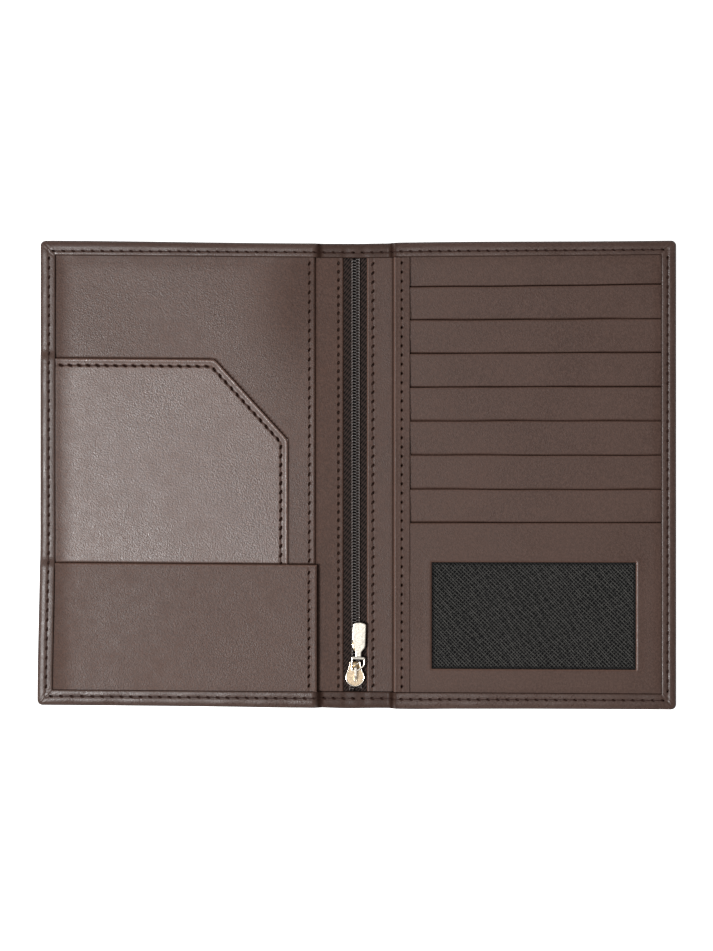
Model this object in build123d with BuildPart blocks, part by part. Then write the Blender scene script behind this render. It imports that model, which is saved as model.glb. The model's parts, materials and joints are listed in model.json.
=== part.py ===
"""A leather passport holder, opened flat.

Frame: X runs across the open spread, Y up the page, Z out of the inside face. The origin is at the
middle of the spread, on the underside of the cover. All lengths are millimetres.

Three bodies fold like a book. The spine carries the zipper, and the two covers fold up about axes
that run along Y at X = -FOLD_X and +FOLD_X. Every layer near a fold is trimmed by the body's fold
zone, a 45 degree notch whose root is on the axis, so the layers stay clear through the whole fold.
"""

import math
import os

from build123d import *

# ---------------------------------------------------------------- driving dimensions
WIDTH = 220.0
HEIGHT = 161.0
CORNER_R = 1.8

COVER_T = 1.0
TURNED_EDGE_T = 0.8
BORDER = 5.3
BORDER_SEAM_INSET = 3.1
RIM_TOP = 6.5
LOW_RIM_TOP = 3.8

FOLD_X = 8.2
FOLD_Z = 2.1
FOLD_CLEARANCE = 0.25
ZONE_TOP = 8.0

HALF_W = WIDTH / 2
HALF_H = HEIGHT / 2
RIM_UNDER = RIM_TOP - TURNED_EDGE_T
LOW_RIM_UNDER = LOW_RIM_TOP - TURNED_EDGE_T
INNER_HALF_H = HALF_H - BORDER
SEWN_GAP = 0.2
LAYER_OUT_X = HALF_W - TURNED_EDGE_T - SEWN_GAP
LAYER_HALF_H = HALF_H - TURNED_EDGE_T - SEWN_GAP

# layers that both covers share
BOARD_T = 0.5
LINING_T = 0.15
BOARD_INNER_X = 14.5
PLACKET_Z = 2.0
PLACKET_T = 0.7
PLACKET_LAP_X = 24.0

# left cover: the passport sleeve and its two slip pockets
PANEL_T = 0.7
SLEEVE_EDGE_X = -14.9
SLEEVE_Z = 3.1
SLEEVE_SEAM_X = -16.8
ANGLED_Z = 4.0
ANGLED_TOP_Y = 40.5
ANGLED_EDGE_X = -24.3
ANGLED_CUT_X = -49.0
ANGLED_CUT_Y = 12.7
ANGLED_CORNER_R = 3.0
ANGLED_SEAM_INSET = 2.6
LOWER_EDGE_X = -14.2
LOWER_TOP_Y = -31.3
LOWER_Z = 4.9

# right cover: the card panel
CARD_EDGE_X = 12.3
BINDING_W = 5.7
BINDING_T = 0.5
BINDING_TOP = 6.3
BINDING_SEAM_X = 15.15
CARD_BACK_Z = 3.1
CARD_BACK_T = 0.4
SLOT_COUNT = 7
SLOT_FIRST_Y = 65.8
SLOT_PITCH = 11.785
SLOT_LENGTH = 20.0
SLOT_T = 0.55
SLOT_MOUTH = 0.15
CARD_DEPTH = 54.0
SLOT_LINING_T = 0.12
SLOT_LINING_STEP = 0.13
SLOT_LINING_LEVELS = 3
WINDOW_PANEL_T = 0.6
WINDOW_W = 70.6
WINDOW_H = 36.7
WINDOW_X = 60.9
WINDOW_Y = -48.65
WINDOW_CORNER_R = 0.8
MESH_T = 0.15
MESH_LAP = 4.0

# zipper
ZIP_X = -1.05
ZIP_HALF_OPENING = 3.95
ZIP_HALF_END = 75.0
TAPE_GAP = 0.5
TAPE_OUT = 6.2
TAPE_Z = 1.9
TAPE_T = 0.4
COIL_OUT = 1.95
COIL_T = 1.1
ZIP_SEAM_LEFT_X = -6.65
ZIP_SEAM_RIGHT_X = 5.0
STOP_T = 0.65
STOP_LENGTH = 2.6

# slider and its pull
SLIDER_TAIL_Y = -73.5
SLIDER_LENGTH = 8.9
SLIDER_R = 3.3
SLIDER_NOSE_HALF_W = 2.4
SLIDER_TOP_Z = 3.55
SLIDER_PLATE_T = 0.6
SLIDER_BASE_Z = 1.3
SLIDER_BASE_T = 0.45
CHANNEL_HALF_W = 2.2
POST_HALF_W = 0.3
POST_LENGTH = 3.4
BRIDGE_X = -0.9
BRIDGE_W = 1.0
BRIDGE_LENGTH = 6.3
BRIDGE_LEG = 1.0
BRIDGE_T = 0.6
BRIDGE_CLEAR = 1.05
PULL_Y = -67.9
PULL_Z = 4.75
PULL_LEAN = 2.3
PULL_T = 0.7
PULL_BAR_R = 0.35
PULL_BAR_LENGTH = 2.6
PULL_SHIFT = 1.1
PULL_HALF_W = 2.45
PULL_LENGTH = 16.6
PULL_CROWN = 0.6
PULL_SHOULDER = 8.0
PULL_NECK_HALF_W = 1.0
PULL_NECK = (5.5, 6.5)
RING_TOP = 5.0
RING_HALF_W = 2.2
RING_TAPER = 1.9
RING_WINDOW_TOP = 3.75
RING_WINDOW_HALF_W = 1.6

# stitches
STITCH_W = 0.45
STITCH_H = 0.2
STITCH_GAP = 0.6
BORDER_PITCH = 3.35
SLEEVE_PITCH = 3.34
ANGLED_PITCH = 3.07
ZIP_LEFT_PITCH = 2.9
ZIP_RIGHT_PITCH = 3.17
BINDING_PITCH = 3.19

os.makedirs("parts", exist_ok=True)


def save(builder, name):
    """Labels a finished sub-part and writes its STEP file."""
    builder.part.label = name
    export_step(builder.part, f"parts/{name}.step")


# ---------------------------------------------------------------- fold zones
zone_rise = ZONE_TOP - FOLD_Z

with BuildPart() as spine_zone:
    with BuildSketch(Plane.XZ):
        with BuildLine():
            root = FOLD_X - FOLD_CLEARANCE
            Polyline(
                (-root, -1), (root, -1), (root, FOLD_Z), (root - zone_rise, ZONE_TOP),
                (zone_rise - root, ZONE_TOP), (-root, FOLD_Z), close=True,
            )
        make_face()
    extrude(amount=HALF_H + 1, both=True)


def cover_zone(side):
    """The space that a cover's layers may fill: outwards of its own side of the fold notch."""
    with BuildPart() as zone:
        with BuildSketch(Plane.XZ):
            with BuildLine():
                root = FOLD_X + FOLD_CLEARANCE
                far = HALF_W + 1
                Polyline(
                    (side * root, -1), (side * root, FOLD_Z), (side * (root + zone_rise), ZONE_TOP),
                    (side * far, ZONE_TOP), (side * far, -1), close=True,
                )
            make_face()
        extrude(amount=HALF_H + 1, both=True)
    return zone.part


left_zone = cover_zone(-1)
right_zone = cover_zone(1)


def sheet(name, x_range, y_range, z, thickness, zone=None):
    """A flat rectangular layer, trimmed by a fold zone where it reaches one, and saved."""
    with BuildPart() as layer:
        with BuildSketch(Plane.XY.offset(z)):
            with Locations((sum(x_range) / 2, sum(y_range) / 2)):
                Rectangle(abs(x_range[1] - x_range[0]), abs(y_range[1] - y_range[0]))
        extrude(amount=thickness)
        if zone is not None:
            add(zone, mode=Mode.INTERSECT)
    save(layer, name)


FULL_Y = (-LAYER_HALF_H, LAYER_HALF_H)


# ---------------------------------------------------------------- outer cover with its turned edges
def cover(name, side, step_x, zone):
    """One cover: a leather back whose edges turn over the inside on three sides, as a border.

    The border is high over the sewn panels and drops at step_x to the low border beside the spine.
    """
    wall = TURNED_EDGE_T
    inner_x = side * (FOLD_X - 1)
    with BuildPart() as shell:
        with BuildSketch():
            with Locations((side * (abs(step_x) + HALF_W) / 2, 0)):
                Rectangle(HALF_W - abs(step_x), HEIGHT)
        extrude(amount=RIM_TOP)
        outer_corners = shell.edges().filter_by(Axis.Z).sort_by(Axis.X, reverse=side > 0)[:2]
        fillet(outer_corners, radius=CORNER_R)
        with BuildSketch():
            with Locations(((inner_x + step_x) / 2, 0)):
                Rectangle(abs(step_x - inner_x), HEIGHT)
        extrude(amount=LOW_RIM_TOP)
        cavity_half_h = HALF_H - wall
        with BuildSketch(Plane.XY.offset(COVER_T)):
            with Locations(((inner_x + side * (HALF_W - wall)) / 2, 0)):
                Rectangle(HALF_W - wall - abs(inner_x), 2 * cavity_half_h)
        extrude(amount=LOW_RIM_UNDER - COVER_T, mode=Mode.SUBTRACT)
        riser_x = step_x + side * wall
        with BuildSketch(Plane.XY.offset(COVER_T)):
            with Locations(((riser_x + side * (HALF_W - wall)) / 2, 0)):
                Rectangle(HALF_W - wall - abs(riser_x), 2 * cavity_half_h)
        extrude(amount=RIM_UNDER - COVER_T, mode=Mode.SUBTRACT)
        with BuildSketch(Plane.XY.offset(COVER_T)):
            with Locations(((inner_x + side * (HALF_W - BORDER)) / 2, 0)):
                Rectangle(HALF_W - BORDER - abs(inner_x), 2 * INNER_HALF_H)
        extrude(amount=RIM_TOP, mode=Mode.SUBTRACT)
        add(zone, mode=Mode.INTERSECT)
    save(shell, name)


cover("cover_left", -1, LOWER_EDGE_X + 0.9, left_zone)
cover("cover_right", 1, CARD_EDGE_X - 0.9, right_zone)

with BuildPart() as cover_spine:
    with BuildSketch():
        Rectangle(2 * FOLD_X, HEIGHT)
    extrude(amount=LOW_RIM_TOP)
    with BuildSketch(Plane.XY.offset(COVER_T)):
        Rectangle(2 * FOLD_X, HEIGHT - 2 * TURNED_EDGE_T)
    extrude(amount=LOW_RIM_UNDER - COVER_T, mode=Mode.SUBTRACT)
    with BuildSketch(Plane.XY.offset(COVER_T)):
        Rectangle(2 * FOLD_X, 2 * INNER_HALF_H)
    extrude(amount=LOW_RIM_TOP, mode=Mode.SUBTRACT)
    add(spine_zone.part, mode=Mode.INTERSECT)
save(cover_spine, "cover_spine")

# ---------------------------------------------------------------- stiffeners, linings and plackets
for side, word, zone in ((-1, "left", left_zone), (1, "right", right_zone)):
    out_x = side * LAYER_OUT_X
    fold_x = side * FOLD_X
    lap_x = side * PLACKET_LAP_X
    sheet(f"board_{word}", (side * BOARD_INNER_X, out_x), FULL_Y, COVER_T, BOARD_T)
    sheet(f"lining_{word}", (fold_x, out_x), FULL_Y, COVER_T + BOARD_T, LINING_T, zone)
    sheet(f"zip_pocket_lining_{word}", (lap_x, out_x), FULL_Y, PLACKET_Z, LINING_T)
    sheet(f"zip_placket_{word}", (fold_x, lap_x), FULL_Y, PLACKET_Z, PLACKET_T, zone)

sheet("lining_spine", (-FOLD_X, FOLD_X), FULL_Y, COVER_T, 0.1, spine_zone.part)

# ---------------------------------------------------------------- left cover: sleeve and slip pockets
sheet("passport_sleeve", (-LAYER_OUT_X, SLEEVE_EDGE_X), FULL_Y, SLEEVE_Z, PANEL_T)

with BuildPart() as angled_slip_pocket:
    with BuildSketch(Plane.XY.offset(ANGLED_Z)) as angled_outline:
        with BuildLine():
            Polyline(
                (-LAYER_OUT_X, -LAYER_HALF_H), (ANGLED_EDGE_X, -LAYER_HALF_H),
                (ANGLED_EDGE_X, ANGLED_CUT_Y), (ANGLED_CUT_X, ANGLED_TOP_Y),
                (-LAYER_OUT_X, ANGLED_TOP_Y), close=True,
            )
        make_face()
        cut_corners = [
            v for v in angled_outline.vertices()
            if v.X > -LAYER_OUT_X + 1 and v.Y > -LAYER_HALF_H + 1
        ]
        fillet(cut_corners, radius=ANGLED_CORNER_R)
    extrude(amount=PANEL_T)
save(angled_slip_pocket, "angled_slip_pocket")

lower_y = (-LAYER_HALF_H, LOWER_TOP_Y)
sheet("lower_slip_pocket", (-LAYER_OUT_X, LOWER_EDGE_X), lower_y, LOWER_Z, PANEL_T)

# ---------------------------------------------------------------- right cover: card panel
panel_x = (CARD_EDGE_X + BINDING_T + 0.1, LAYER_OUT_X)
sheet("card_panel_back", panel_x, FULL_Y, CARD_BACK_Z, CARD_BACK_T)

with BuildPart() as card_panel_binding:
    binding_z = CARD_BACK_Z - 0.3
    with BuildSketch(Plane.XZ):
        with BuildLine():
            outer_x = CARD_EDGE_X + BINDING_W
            Polyline(
                (CARD_EDGE_X, binding_z), (outer_x, binding_z), (outer_x, CARD_BACK_Z),
                (CARD_EDGE_X + BINDING_T, CARD_BACK_Z),
                (CARD_EDGE_X + BINDING_T, BINDING_TOP - BINDING_T),
                (outer_x, BINDING_TOP - BINDING_T), (outer_x, BINDING_TOP),
                (CARD_EDGE_X, BINDING_TOP), close=True,
            )
        make_face()
    extrude(amount=INNER_HALF_H - 0.1, both=True)
save(card_panel_binding, "card_panel_binding")

# the slot strips lie like roof tiles: each one's mouth rests over the strip above it
slot_base_z = CARD_BACK_Z + CARD_BACK_T + SLOT_LINING_LEVELS * SLOT_LINING_STEP
slot_slope = (SLOT_T + SLOT_MOUTH) / SLOT_PITCH
slot_mouth_z = slot_base_z + slot_slope * SLOT_LENGTH
strip_x = (panel_x[0] + 0.5, LAYER_OUT_X)
for i in range(SLOT_COUNT):
    mouth_y = SLOT_FIRST_Y - i * SLOT_PITCH
    with BuildPart() as card_slot:
        with BuildSketch(Plane.YZ.offset(strip_x[0])):
            with BuildLine():
                Polyline(
                    (mouth_y, slot_mouth_z), (mouth_y, slot_mouth_z + SLOT_T),
                    (mouth_y - SLOT_LENGTH, slot_base_z + SLOT_T),
                    (mouth_y - SLOT_LENGTH, slot_base_z), close=True,
                )
            make_face()
        extrude(amount=strip_x[1] - strip_x[0])
    save(card_slot, f"card_slot_{i + 1}")

# a fabric lining hangs from each strip to the bottom of its slot, on one of three levels
with BuildPart() as card_slot_linings:
    for i in range(SLOT_COUNT):
        lining_top = SLOT_FIRST_Y - i * SLOT_PITCH - SLOT_LENGTH
        lining_bottom = lining_top + SLOT_LENGTH - CARD_DEPTH
        level = i % SLOT_LINING_LEVELS
        lining_z = CARD_BACK_Z + CARD_BACK_T + level * SLOT_LINING_STEP
        with BuildSketch(Plane.XY.offset(lining_z)):
            with Locations((sum(strip_x) / 2, (lining_top + lining_bottom) / 2)):
                Rectangle(strip_x[1] - strip_x[0], lining_top - lining_bottom)
        extrude(amount=SLOT_LINING_T)
save(card_slot_linings, "card_slot_linings")

window_top_y = SLOT_FIRST_Y - SLOT_COUNT * SLOT_PITCH
window_panel_z = slot_mouth_z + 0.01
with BuildPart() as id_window_panel:
    with BuildSketch(Plane.XY.offset(window_panel_z)):
        with Locations((sum(strip_x) / 2, (window_top_y - LAYER_HALF_H) / 2)):
            Rectangle(strip_x[1] - strip_x[0], window_top_y + LAYER_HALF_H)
        with Locations((WINDOW_X, WINDOW_Y)):
            RectangleRounded(WINDOW_W, WINDOW_H, WINDOW_CORNER_R, mode=Mode.SUBTRACT)
    extrude(amount=WINDOW_PANEL_T)
save(id_window_panel, "id_window_panel")

mesh_z = window_panel_z - MESH_T
half_mesh_w = WINDOW_W / 2 + MESH_LAP
half_mesh_h = WINDOW_H / 2 + MESH_LAP
mesh_x = (WINDOW_X - half_mesh_w, WINDOW_X + half_mesh_w)
mesh_y = (WINDOW_Y - half_mesh_h, WINDOW_Y + half_mesh_h)
sheet("id_window_mesh", mesh_x, mesh_y, mesh_z, MESH_T)
sheet("id_pocket_lining", strip_x, (-LAYER_HALF_H, mesh_y[1]), slot_base_z, LINING_T)

# ---------------------------------------------------------------- zipper
for side, word in ((-1, "left"), (1, "right")):
    opening_x = ZIP_X + side * ZIP_HALF_OPENING
    gap_x = ZIP_X + side * TAPE_GAP
    coil_y = (-ZIP_HALF_END, ZIP_HALF_END)
    sheet(f"zipper_tape_{word}", (gap_x, ZIP_X + side * TAPE_OUT), FULL_Y, TAPE_Z, TAPE_T)
    sheet(f"zipper_coil_{word}", (gap_x, ZIP_X + side * COIL_OUT), coil_y, TAPE_Z + TAPE_T, COIL_T)
    edge_z = TAPE_Z + TAPE_T
    edge_t = LOW_RIM_UNDER - edge_z
    sheet(f"zip_edge_{word}", (opening_x, side * FOLD_X), FULL_Y, edge_z, edge_t, spine_zone.part)

with BuildPart() as zipper_stops:
    stop_y = ZIP_HALF_END + 1 + STOP_LENGTH / 2
    with BuildSketch(Plane.XY.offset(TAPE_Z + TAPE_T)):
        with Locations((ZIP_X, -stop_y)):
            Rectangle(2 * COIL_OUT, STOP_LENGTH)
        with Locations((ZIP_X - 1.3, stop_y), (ZIP_X + 1.3, stop_y)):
            Rectangle(1.3, STOP_LENGTH)
    extrude(amount=STOP_T)
save(zipper_stops, "zipper_stops")

# ---------------------------------------------------------------- slider
slider_round_y = SLIDER_TAIL_Y + SLIDER_R
slider_nose_y = SLIDER_TAIL_Y + SLIDER_LENGTH


def slider_outline():
    """Plan of the slider's plates: round at the wide end, narrower at the nose."""
    with BuildSketch() as outline:
        with Locations((ZIP_X, slider_round_y)):
            Circle(SLIDER_R)
        with Locations((ZIP_X, slider_nose_y - 0.5)):
            Rectangle(2 * SLIDER_NOSE_HALF_W, 1.0)
        make_hull()
    return outline.sketch


outline = slider_outline()
slider_top = SLIDER_TOP_Z + SLIDER_PLATE_T
flange_z = TAPE_Z + TAPE_T + 0.15

with BuildPart() as slider_body:
    with BuildSketch(Plane.XY.offset(SLIDER_BASE_Z)):
        add(outline)
    extrude(amount=SLIDER_BASE_T)
    with BuildSketch(Plane.XY.offset(flange_z)):
        add(outline)
        with Locations((ZIP_X, SLIDER_TAIL_Y + SLIDER_LENGTH / 2)):
            Rectangle(2 * CHANNEL_HALF_W, SLIDER_LENGTH + 1, mode=Mode.SUBTRACT)
    extrude(amount=SLIDER_TOP_Z - flange_z)
    with BuildSketch(Plane.XY.offset(SLIDER_TOP_Z)):
        add(outline)
    extrude(amount=SLIDER_PLATE_T)
    with BuildSketch(Plane.XY.offset(SLIDER_BASE_Z)):
        with Locations((ZIP_X, SLIDER_TAIL_Y + 1 + POST_LENGTH / 2)):
            SlotOverall(POST_LENGTH, 2 * POST_HALF_W, rotation=90)
    extrude(amount=SLIDER_TOP_Z - SLIDER_BASE_Z)
save(slider_body, "slider_body")

with BuildPart() as slider_bridge:
    bridge_y = PULL_Y + PULL_BAR_R + 0.25 + BRIDGE_LEG - BRIDGE_LENGTH / 2
    bridge_h = BRIDGE_CLEAR + BRIDGE_T
    with BuildSketch(Plane.YZ.offset(BRIDGE_X)):
        with Locations((bridge_y, slider_top + bridge_h / 2)):
            Rectangle(BRIDGE_LENGTH, bridge_h)
        with Locations((bridge_y, slider_top + BRIDGE_CLEAR / 2)):
            Rectangle(BRIDGE_LENGTH - 2 * BRIDGE_LEG, BRIDGE_CLEAR, mode=Mode.SUBTRACT)
    extrude(amount=BRIDGE_W / 2, both=True)
    top_ends = slider_bridge.edges().filter_by(Axis.X).group_by(Axis.Z)[-1]
    fillet(top_ends, radius=0.5)
save(slider_bridge, "slider_bridge")

# ---------------------------------------------------------------- pull: ring, neck and grip in one piece
pull_plane = Plane(
    origin=(ZIP_X, PULL_Y, PULL_Z - PULL_T / 2),
    x_dir=(math.cos(math.radians(PULL_LEAN)), -math.sin(math.radians(PULL_LEAN)), 0),
    z_dir=(0, 0, 1),
)
ring_x = PULL_SHIFT
bar_x = ring_x - RING_HALF_W + PULL_BAR_LENGTH

with BuildPart() as pull_tab:
    with BuildSketch(pull_plane):
        with BuildLine():
            Polyline(
                (ring_x - PULL_HALF_W, PULL_LENGTH), (ring_x - PULL_HALF_W, PULL_SHOULDER),
                (ring_x - PULL_NECK_HALF_W, PULL_NECK[1]), (ring_x - PULL_NECK_HALF_W, PULL_NECK[0]),
                (ring_x - RING_HALF_W, RING_TOP), (ring_x - RING_HALF_W, -PULL_BAR_R),
                (bar_x, -PULL_BAR_R), (ring_x + RING_HALF_W, RING_TAPER),
                (ring_x + RING_HALF_W, RING_TOP), (ring_x + PULL_NECK_HALF_W, PULL_NECK[0]),
                (ring_x + PULL_NECK_HALF_W, PULL_NECK[1]), (ring_x + PULL_HALF_W, PULL_SHOULDER),
                (ring_x + PULL_HALF_W, PULL_LENGTH),
            )
            ThreePointArc(
                (ring_x + PULL_HALF_W, PULL_LENGTH), (ring_x, PULL_LENGTH + PULL_CROWN),
                (ring_x - PULL_HALF_W, PULL_LENGTH),
            )
        make_face()
        with BuildLine():
            window_left = ring_x - RING_WINDOW_HALF_W
            window_right = ring_x + RING_WINDOW_HALF_W
            Polyline(
                (window_left, PULL_BAR_R), (bar_x - 0.6, PULL_BAR_R), (window_right, RING_TAPER),
                (window_right, RING_WINDOW_TOP), (window_left, RING_WINDOW_TOP), close=True,
            )
        make_face(mode=Mode.SUBTRACT)
    extrude(amount=PULL_T)
save(pull_tab, "pull_tab")


# ---------------------------------------------------------------- stitching
def stitch_places(start, end, pitch):
    """Centres of a straight run's stitches: as many whole pitches as the run holds, centred."""
    run = Vector(*end) - Vector(*start)
    count = int(run.length / pitch)
    angle = math.degrees(math.atan2(run.Y, run.X))
    along = run.normalized()
    lead = (run.length - count * pitch) / 2
    spots = [Vector(*start) + along * (lead + (k + 0.5) * pitch) for k in range(count)]
    return [Location((s.X, s.Y, 0), (0, 0, angle)) for s in spots]


def stitching(name, pitch, z, runs):
    """One seam's stitches, lying on a surface at height z. Each run is (start, end)."""
    with BuildPart() as seam:
        with BuildSketch(Plane.XY.offset(z)):
            for start, end in runs:
                with Locations(*stitch_places(start, end, pitch)):
                    Rectangle(pitch - STITCH_GAP, STITCH_W)
        extrude(amount=STITCH_H)
    save(seam, name)


seam_x = HALF_W - BORDER_SEAM_INSET
seam_y = HALF_H - BORDER_SEAM_INSET
for side, word, step in ((-1, "left", -LOWER_EDGE_X), (1, "right", CARD_EDGE_X)):
    near = side * (step + 0.5)
    out = side * seam_x
    stitching(f"border_stitching_{word}", BORDER_PITCH, RIM_TOP, [
        ((near, seam_y), (out, seam_y)),
        ((out, seam_y - 1), (out, -seam_y + 1)),
        ((out, -seam_y), (near, -seam_y)),
    ])

spine_seam_x = FOLD_X - (LOW_RIM_TOP - FOLD_Z) - 1
stitching("border_stitching_spine", BORDER_PITCH, LOW_RIM_TOP, [
    ((-spine_seam_x, y), (spine_seam_x, y)) for y in (seam_y, -seam_y)
])

seam_end = INNER_HALF_H - 0.5
seam_x = SLEEVE_SEAM_X
stitching("sleeve_edge_stitching", SLEEVE_PITCH, SLEEVE_Z + PANEL_T, [
    ((seam_x, seam_end), (seam_x, LOWER_TOP_Y)),
])
stitching("lower_pocket_stitching", SLEEVE_PITCH, LOWER_Z + PANEL_T, [
    ((seam_x, LOWER_TOP_Y), (seam_x, -seam_end)),
])

# the angled pocket's seam runs parallel to its three free edges
cut_angle = math.atan2(ANGLED_TOP_Y - ANGLED_CUT_Y, ANGLED_CUT_X - ANGLED_EDGE_X)
half_turn_top = math.tan((math.pi - cut_angle) / 2)
half_turn_side = math.tan((cut_angle - math.pi / 2) / 2)
inset = ANGLED_SEAM_INSET
angled_seam = [
    (-HALF_W + BORDER + 0.4, ANGLED_TOP_Y - inset),
    (ANGLED_CUT_X - inset * half_turn_top, ANGLED_TOP_Y - inset),
    (ANGLED_EDGE_X - inset, ANGLED_CUT_Y - inset * half_turn_side),
    (ANGLED_EDGE_X - inset, LOWER_TOP_Y + 0.4),
]
angled_runs = list(zip(angled_seam[:-1], angled_seam[1:]))
stitching("angled_pocket_stitching", ANGLED_PITCH, ANGLED_Z + PANEL_T, angled_runs)

for word, x, pitch in (
    ("left", ZIP_SEAM_LEFT_X, ZIP_LEFT_PITCH), ("right", ZIP_SEAM_RIGHT_X, ZIP_RIGHT_PITCH),
):
    stitching(f"zip_stitching_{word}", pitch, LOW_RIM_UNDER, [((x, seam_end), (x, -seam_end))])

stitching("binding_stitching", BINDING_PITCH, BINDING_TOP, [
    ((BINDING_SEAM_X, seam_end), (BINDING_SEAM_X, -seam_end)),
])
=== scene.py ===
"""Looks of a leather passport holder that lies open: turned leather, stitched seams and a coil zipper.

Lengths are in millimetres, and turned into metres when a mesh is made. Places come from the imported
frame: span("node") gives a CAD node's box in millimetres.
"""

import json
import math

import bpy
import numpy as np
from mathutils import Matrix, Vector


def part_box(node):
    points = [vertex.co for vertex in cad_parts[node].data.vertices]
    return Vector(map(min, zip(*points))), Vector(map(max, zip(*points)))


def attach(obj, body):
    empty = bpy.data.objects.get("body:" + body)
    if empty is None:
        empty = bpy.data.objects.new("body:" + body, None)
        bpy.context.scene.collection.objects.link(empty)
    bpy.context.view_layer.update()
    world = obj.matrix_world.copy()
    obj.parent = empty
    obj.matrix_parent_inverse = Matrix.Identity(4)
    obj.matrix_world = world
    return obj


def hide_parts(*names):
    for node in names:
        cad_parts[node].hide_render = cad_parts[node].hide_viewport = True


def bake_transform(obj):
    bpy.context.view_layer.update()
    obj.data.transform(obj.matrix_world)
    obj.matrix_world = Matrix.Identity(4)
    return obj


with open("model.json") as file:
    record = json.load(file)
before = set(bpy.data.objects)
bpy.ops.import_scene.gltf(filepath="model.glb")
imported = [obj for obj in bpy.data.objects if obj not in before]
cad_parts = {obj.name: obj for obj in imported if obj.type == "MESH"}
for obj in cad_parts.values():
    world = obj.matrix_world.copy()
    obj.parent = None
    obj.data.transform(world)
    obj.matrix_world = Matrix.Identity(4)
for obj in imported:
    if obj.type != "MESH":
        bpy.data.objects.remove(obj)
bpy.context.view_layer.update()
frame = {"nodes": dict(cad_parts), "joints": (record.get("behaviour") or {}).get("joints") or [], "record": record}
scene = bpy.context.scene
MM = 0.001
rng = np.random.RandomState(7)


def span(node):
    """A CAD node's box in millimetres: x0, y0, z0, x1, y1, z1."""
    low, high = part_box(node)
    return [round(v / MM, 3) for v in (*low, *high)]


# ---- driving sizes, in millimetres
HALF_W = span("cover_right")[3]
HALF_H = span("cover_right")[4]
RIM_TOP = span("cover_right")[5]
LOW_RIM_TOP = span("cover_spine")[5]
SEAM_INSET = HALF_H - (span("border_stitching_left")[4] - 0.225)
BORDER = 5.3
TURNED_T = 0.8
HIDE_T = 1.0
CORNER_R = 1.8

SLEEVE = span("passport_sleeve")
ANGLED = span("angled_slip_pocket")
LOWER = span("lower_slip_pocket")
BINDING = span("card_panel_binding")
WINDOW_PANEL = span("id_window_panel")
MESH = span("id_window_mesh")
PLACKET_LEFT = span("zip_placket_left")
PLACKET_RIGHT = span("zip_placket_right")
ZIP_EDGE_LEFT = span("zip_edge_left")
ZIP_EDGE_RIGHT = span("zip_edge_right")
TAPE_LEFT = span("zipper_tape_left")
TAPE_RIGHT = span("zipper_tape_right")
COIL_LEFT = span("zipper_coil_left")
SLOTS = [span(f"card_slot_{i}") for i in range(1, 8)]
JOINTS = {j["name"]: j for j in frame["joints"]}
PULL_PIVOT = [v / MM for v in JOINTS["pull_swing"]["pos_m"]]
ZIP_X = PULL_PIVOT[0]

BORDER_PITCH = 3.3
SLEEVE_PITCH = 3.34
ANGLED_PITCH = 3.07
PLACKET_LEFT_PITCH = 2.9
PLACKET_RIGHT_PITCH = 3.17
BINDING_PITCH = 3.19
COIL_PITCH = 1.01
SHARP_DEGREES = 48
LEAST_T = 0.06
DENSE_STEP = 0.15


# ---- mesh helpers
def smoothstep(low, high, value):
    """0 up to low, 1 from high on, and an S-curve between; low may be above high."""
    t = np.clip((value - low) / (high - low), 0, 1)
    return t * t * (3 - 2 * t)


def bead(value, centre, width):
    """A bell of height 1 round centre."""
    return np.exp(-((value - centre) / width) ** 2)


def deepest(first, *others):
    """The greatest of several shades at each point."""
    for other in others:
        first = np.maximum(first, other)
    return first


def lay(points):
    """How the holder lies: each half turns up a little in plan, away from the spine."""
    p = np.array(points, float)
    out = np.abs(p[:, 0]) / HALF_W
    right = p[:, 0] > 0
    p[:, 1] += np.where(right, 0.85 * out * p[:, 1] / HALF_H + 0.15 * out, 0.9 * out)
    return p


def piece(name, points, faces, material, body=None, dark=None, slot=None, nodes=()):
    """Makes a mesh object from points in millimetres, which stands for CAD nodes.

    dark is a painted shade per point: darker up to 1, and a painted highlight below 0.
    """
    mesh = bpy.data.meshes.new(name)
    mesh.from_pydata((lay(points) * MM).tolist(), [], faces)
    mesh.validate()
    if dark is not None:
        shade = mesh.attributes.new("dark", "FLOAT", "POINT")
        shade.data.foreach_set("value", np.asarray(dark, np.float32))
    mesh.shade_smooth()
    mesh.set_sharp_from_angle(angle=math.radians(SHARP_DEGREES))
    mesh.materials.append(MATERIAL[material])
    obj = bpy.data.objects.new(name, mesh)
    scene.collection.objects.link(obj)
    if body:
        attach(obj, body)
    if nodes:
        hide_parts(*nodes)
    return obj


def lines(start, end, step, dense=(), reach=1.2):
    """Grid lines from start to end, a step apart, and finer within reach of each value in dense."""
    values = list(np.linspace(start, end, max(2, int(round((end - start) / step)) + 1)))
    for centre in dense:
        low, high = max(start, centre - reach), min(end, centre + reach)
        values = [v for v in values if not low < v < high]
        values += list(np.linspace(low, high, int((high - low) / DENSE_STEP) + 1))
    values = np.array(sorted(values))
    return values[np.concatenate([[True], np.diff(values) > 0.02])]


def merged(*parts):
    """Several sets of grid lines as one, in order."""
    return np.unique(np.concatenate(parts))


EDGE_STEPS = np.array([0, 0.015, 0.06, 0.13, 0.23, 0.36, 0.52, 0.72])


def edge_round(distance, radius=0.55):
    """How far a leather edge has dropped at a distance in from it."""
    d = np.clip(distance, 0, radius)
    return radius - np.sqrt(np.maximum(radius ** 2 - (radius - d) ** 2, 0))


def lip(distance):
    """The slope of a turned edge that catches the light, by the distance in from it."""
    return 0.2 * np.maximum(0.62 - distance, 0)


def painted_highlight(distance, width=0.55):
    """A painted highlight along a turned edge, by the distance in from it."""
    return -smoothstep(0.0, 0.12, distance) * smoothstep(width, width - 0.2, distance)


def crease(distance):
    """Shade in the crease at the foot of a raised edge, by the distance out from it."""
    return 0.8 * smoothstep(0.85, 0.3, distance)


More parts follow.
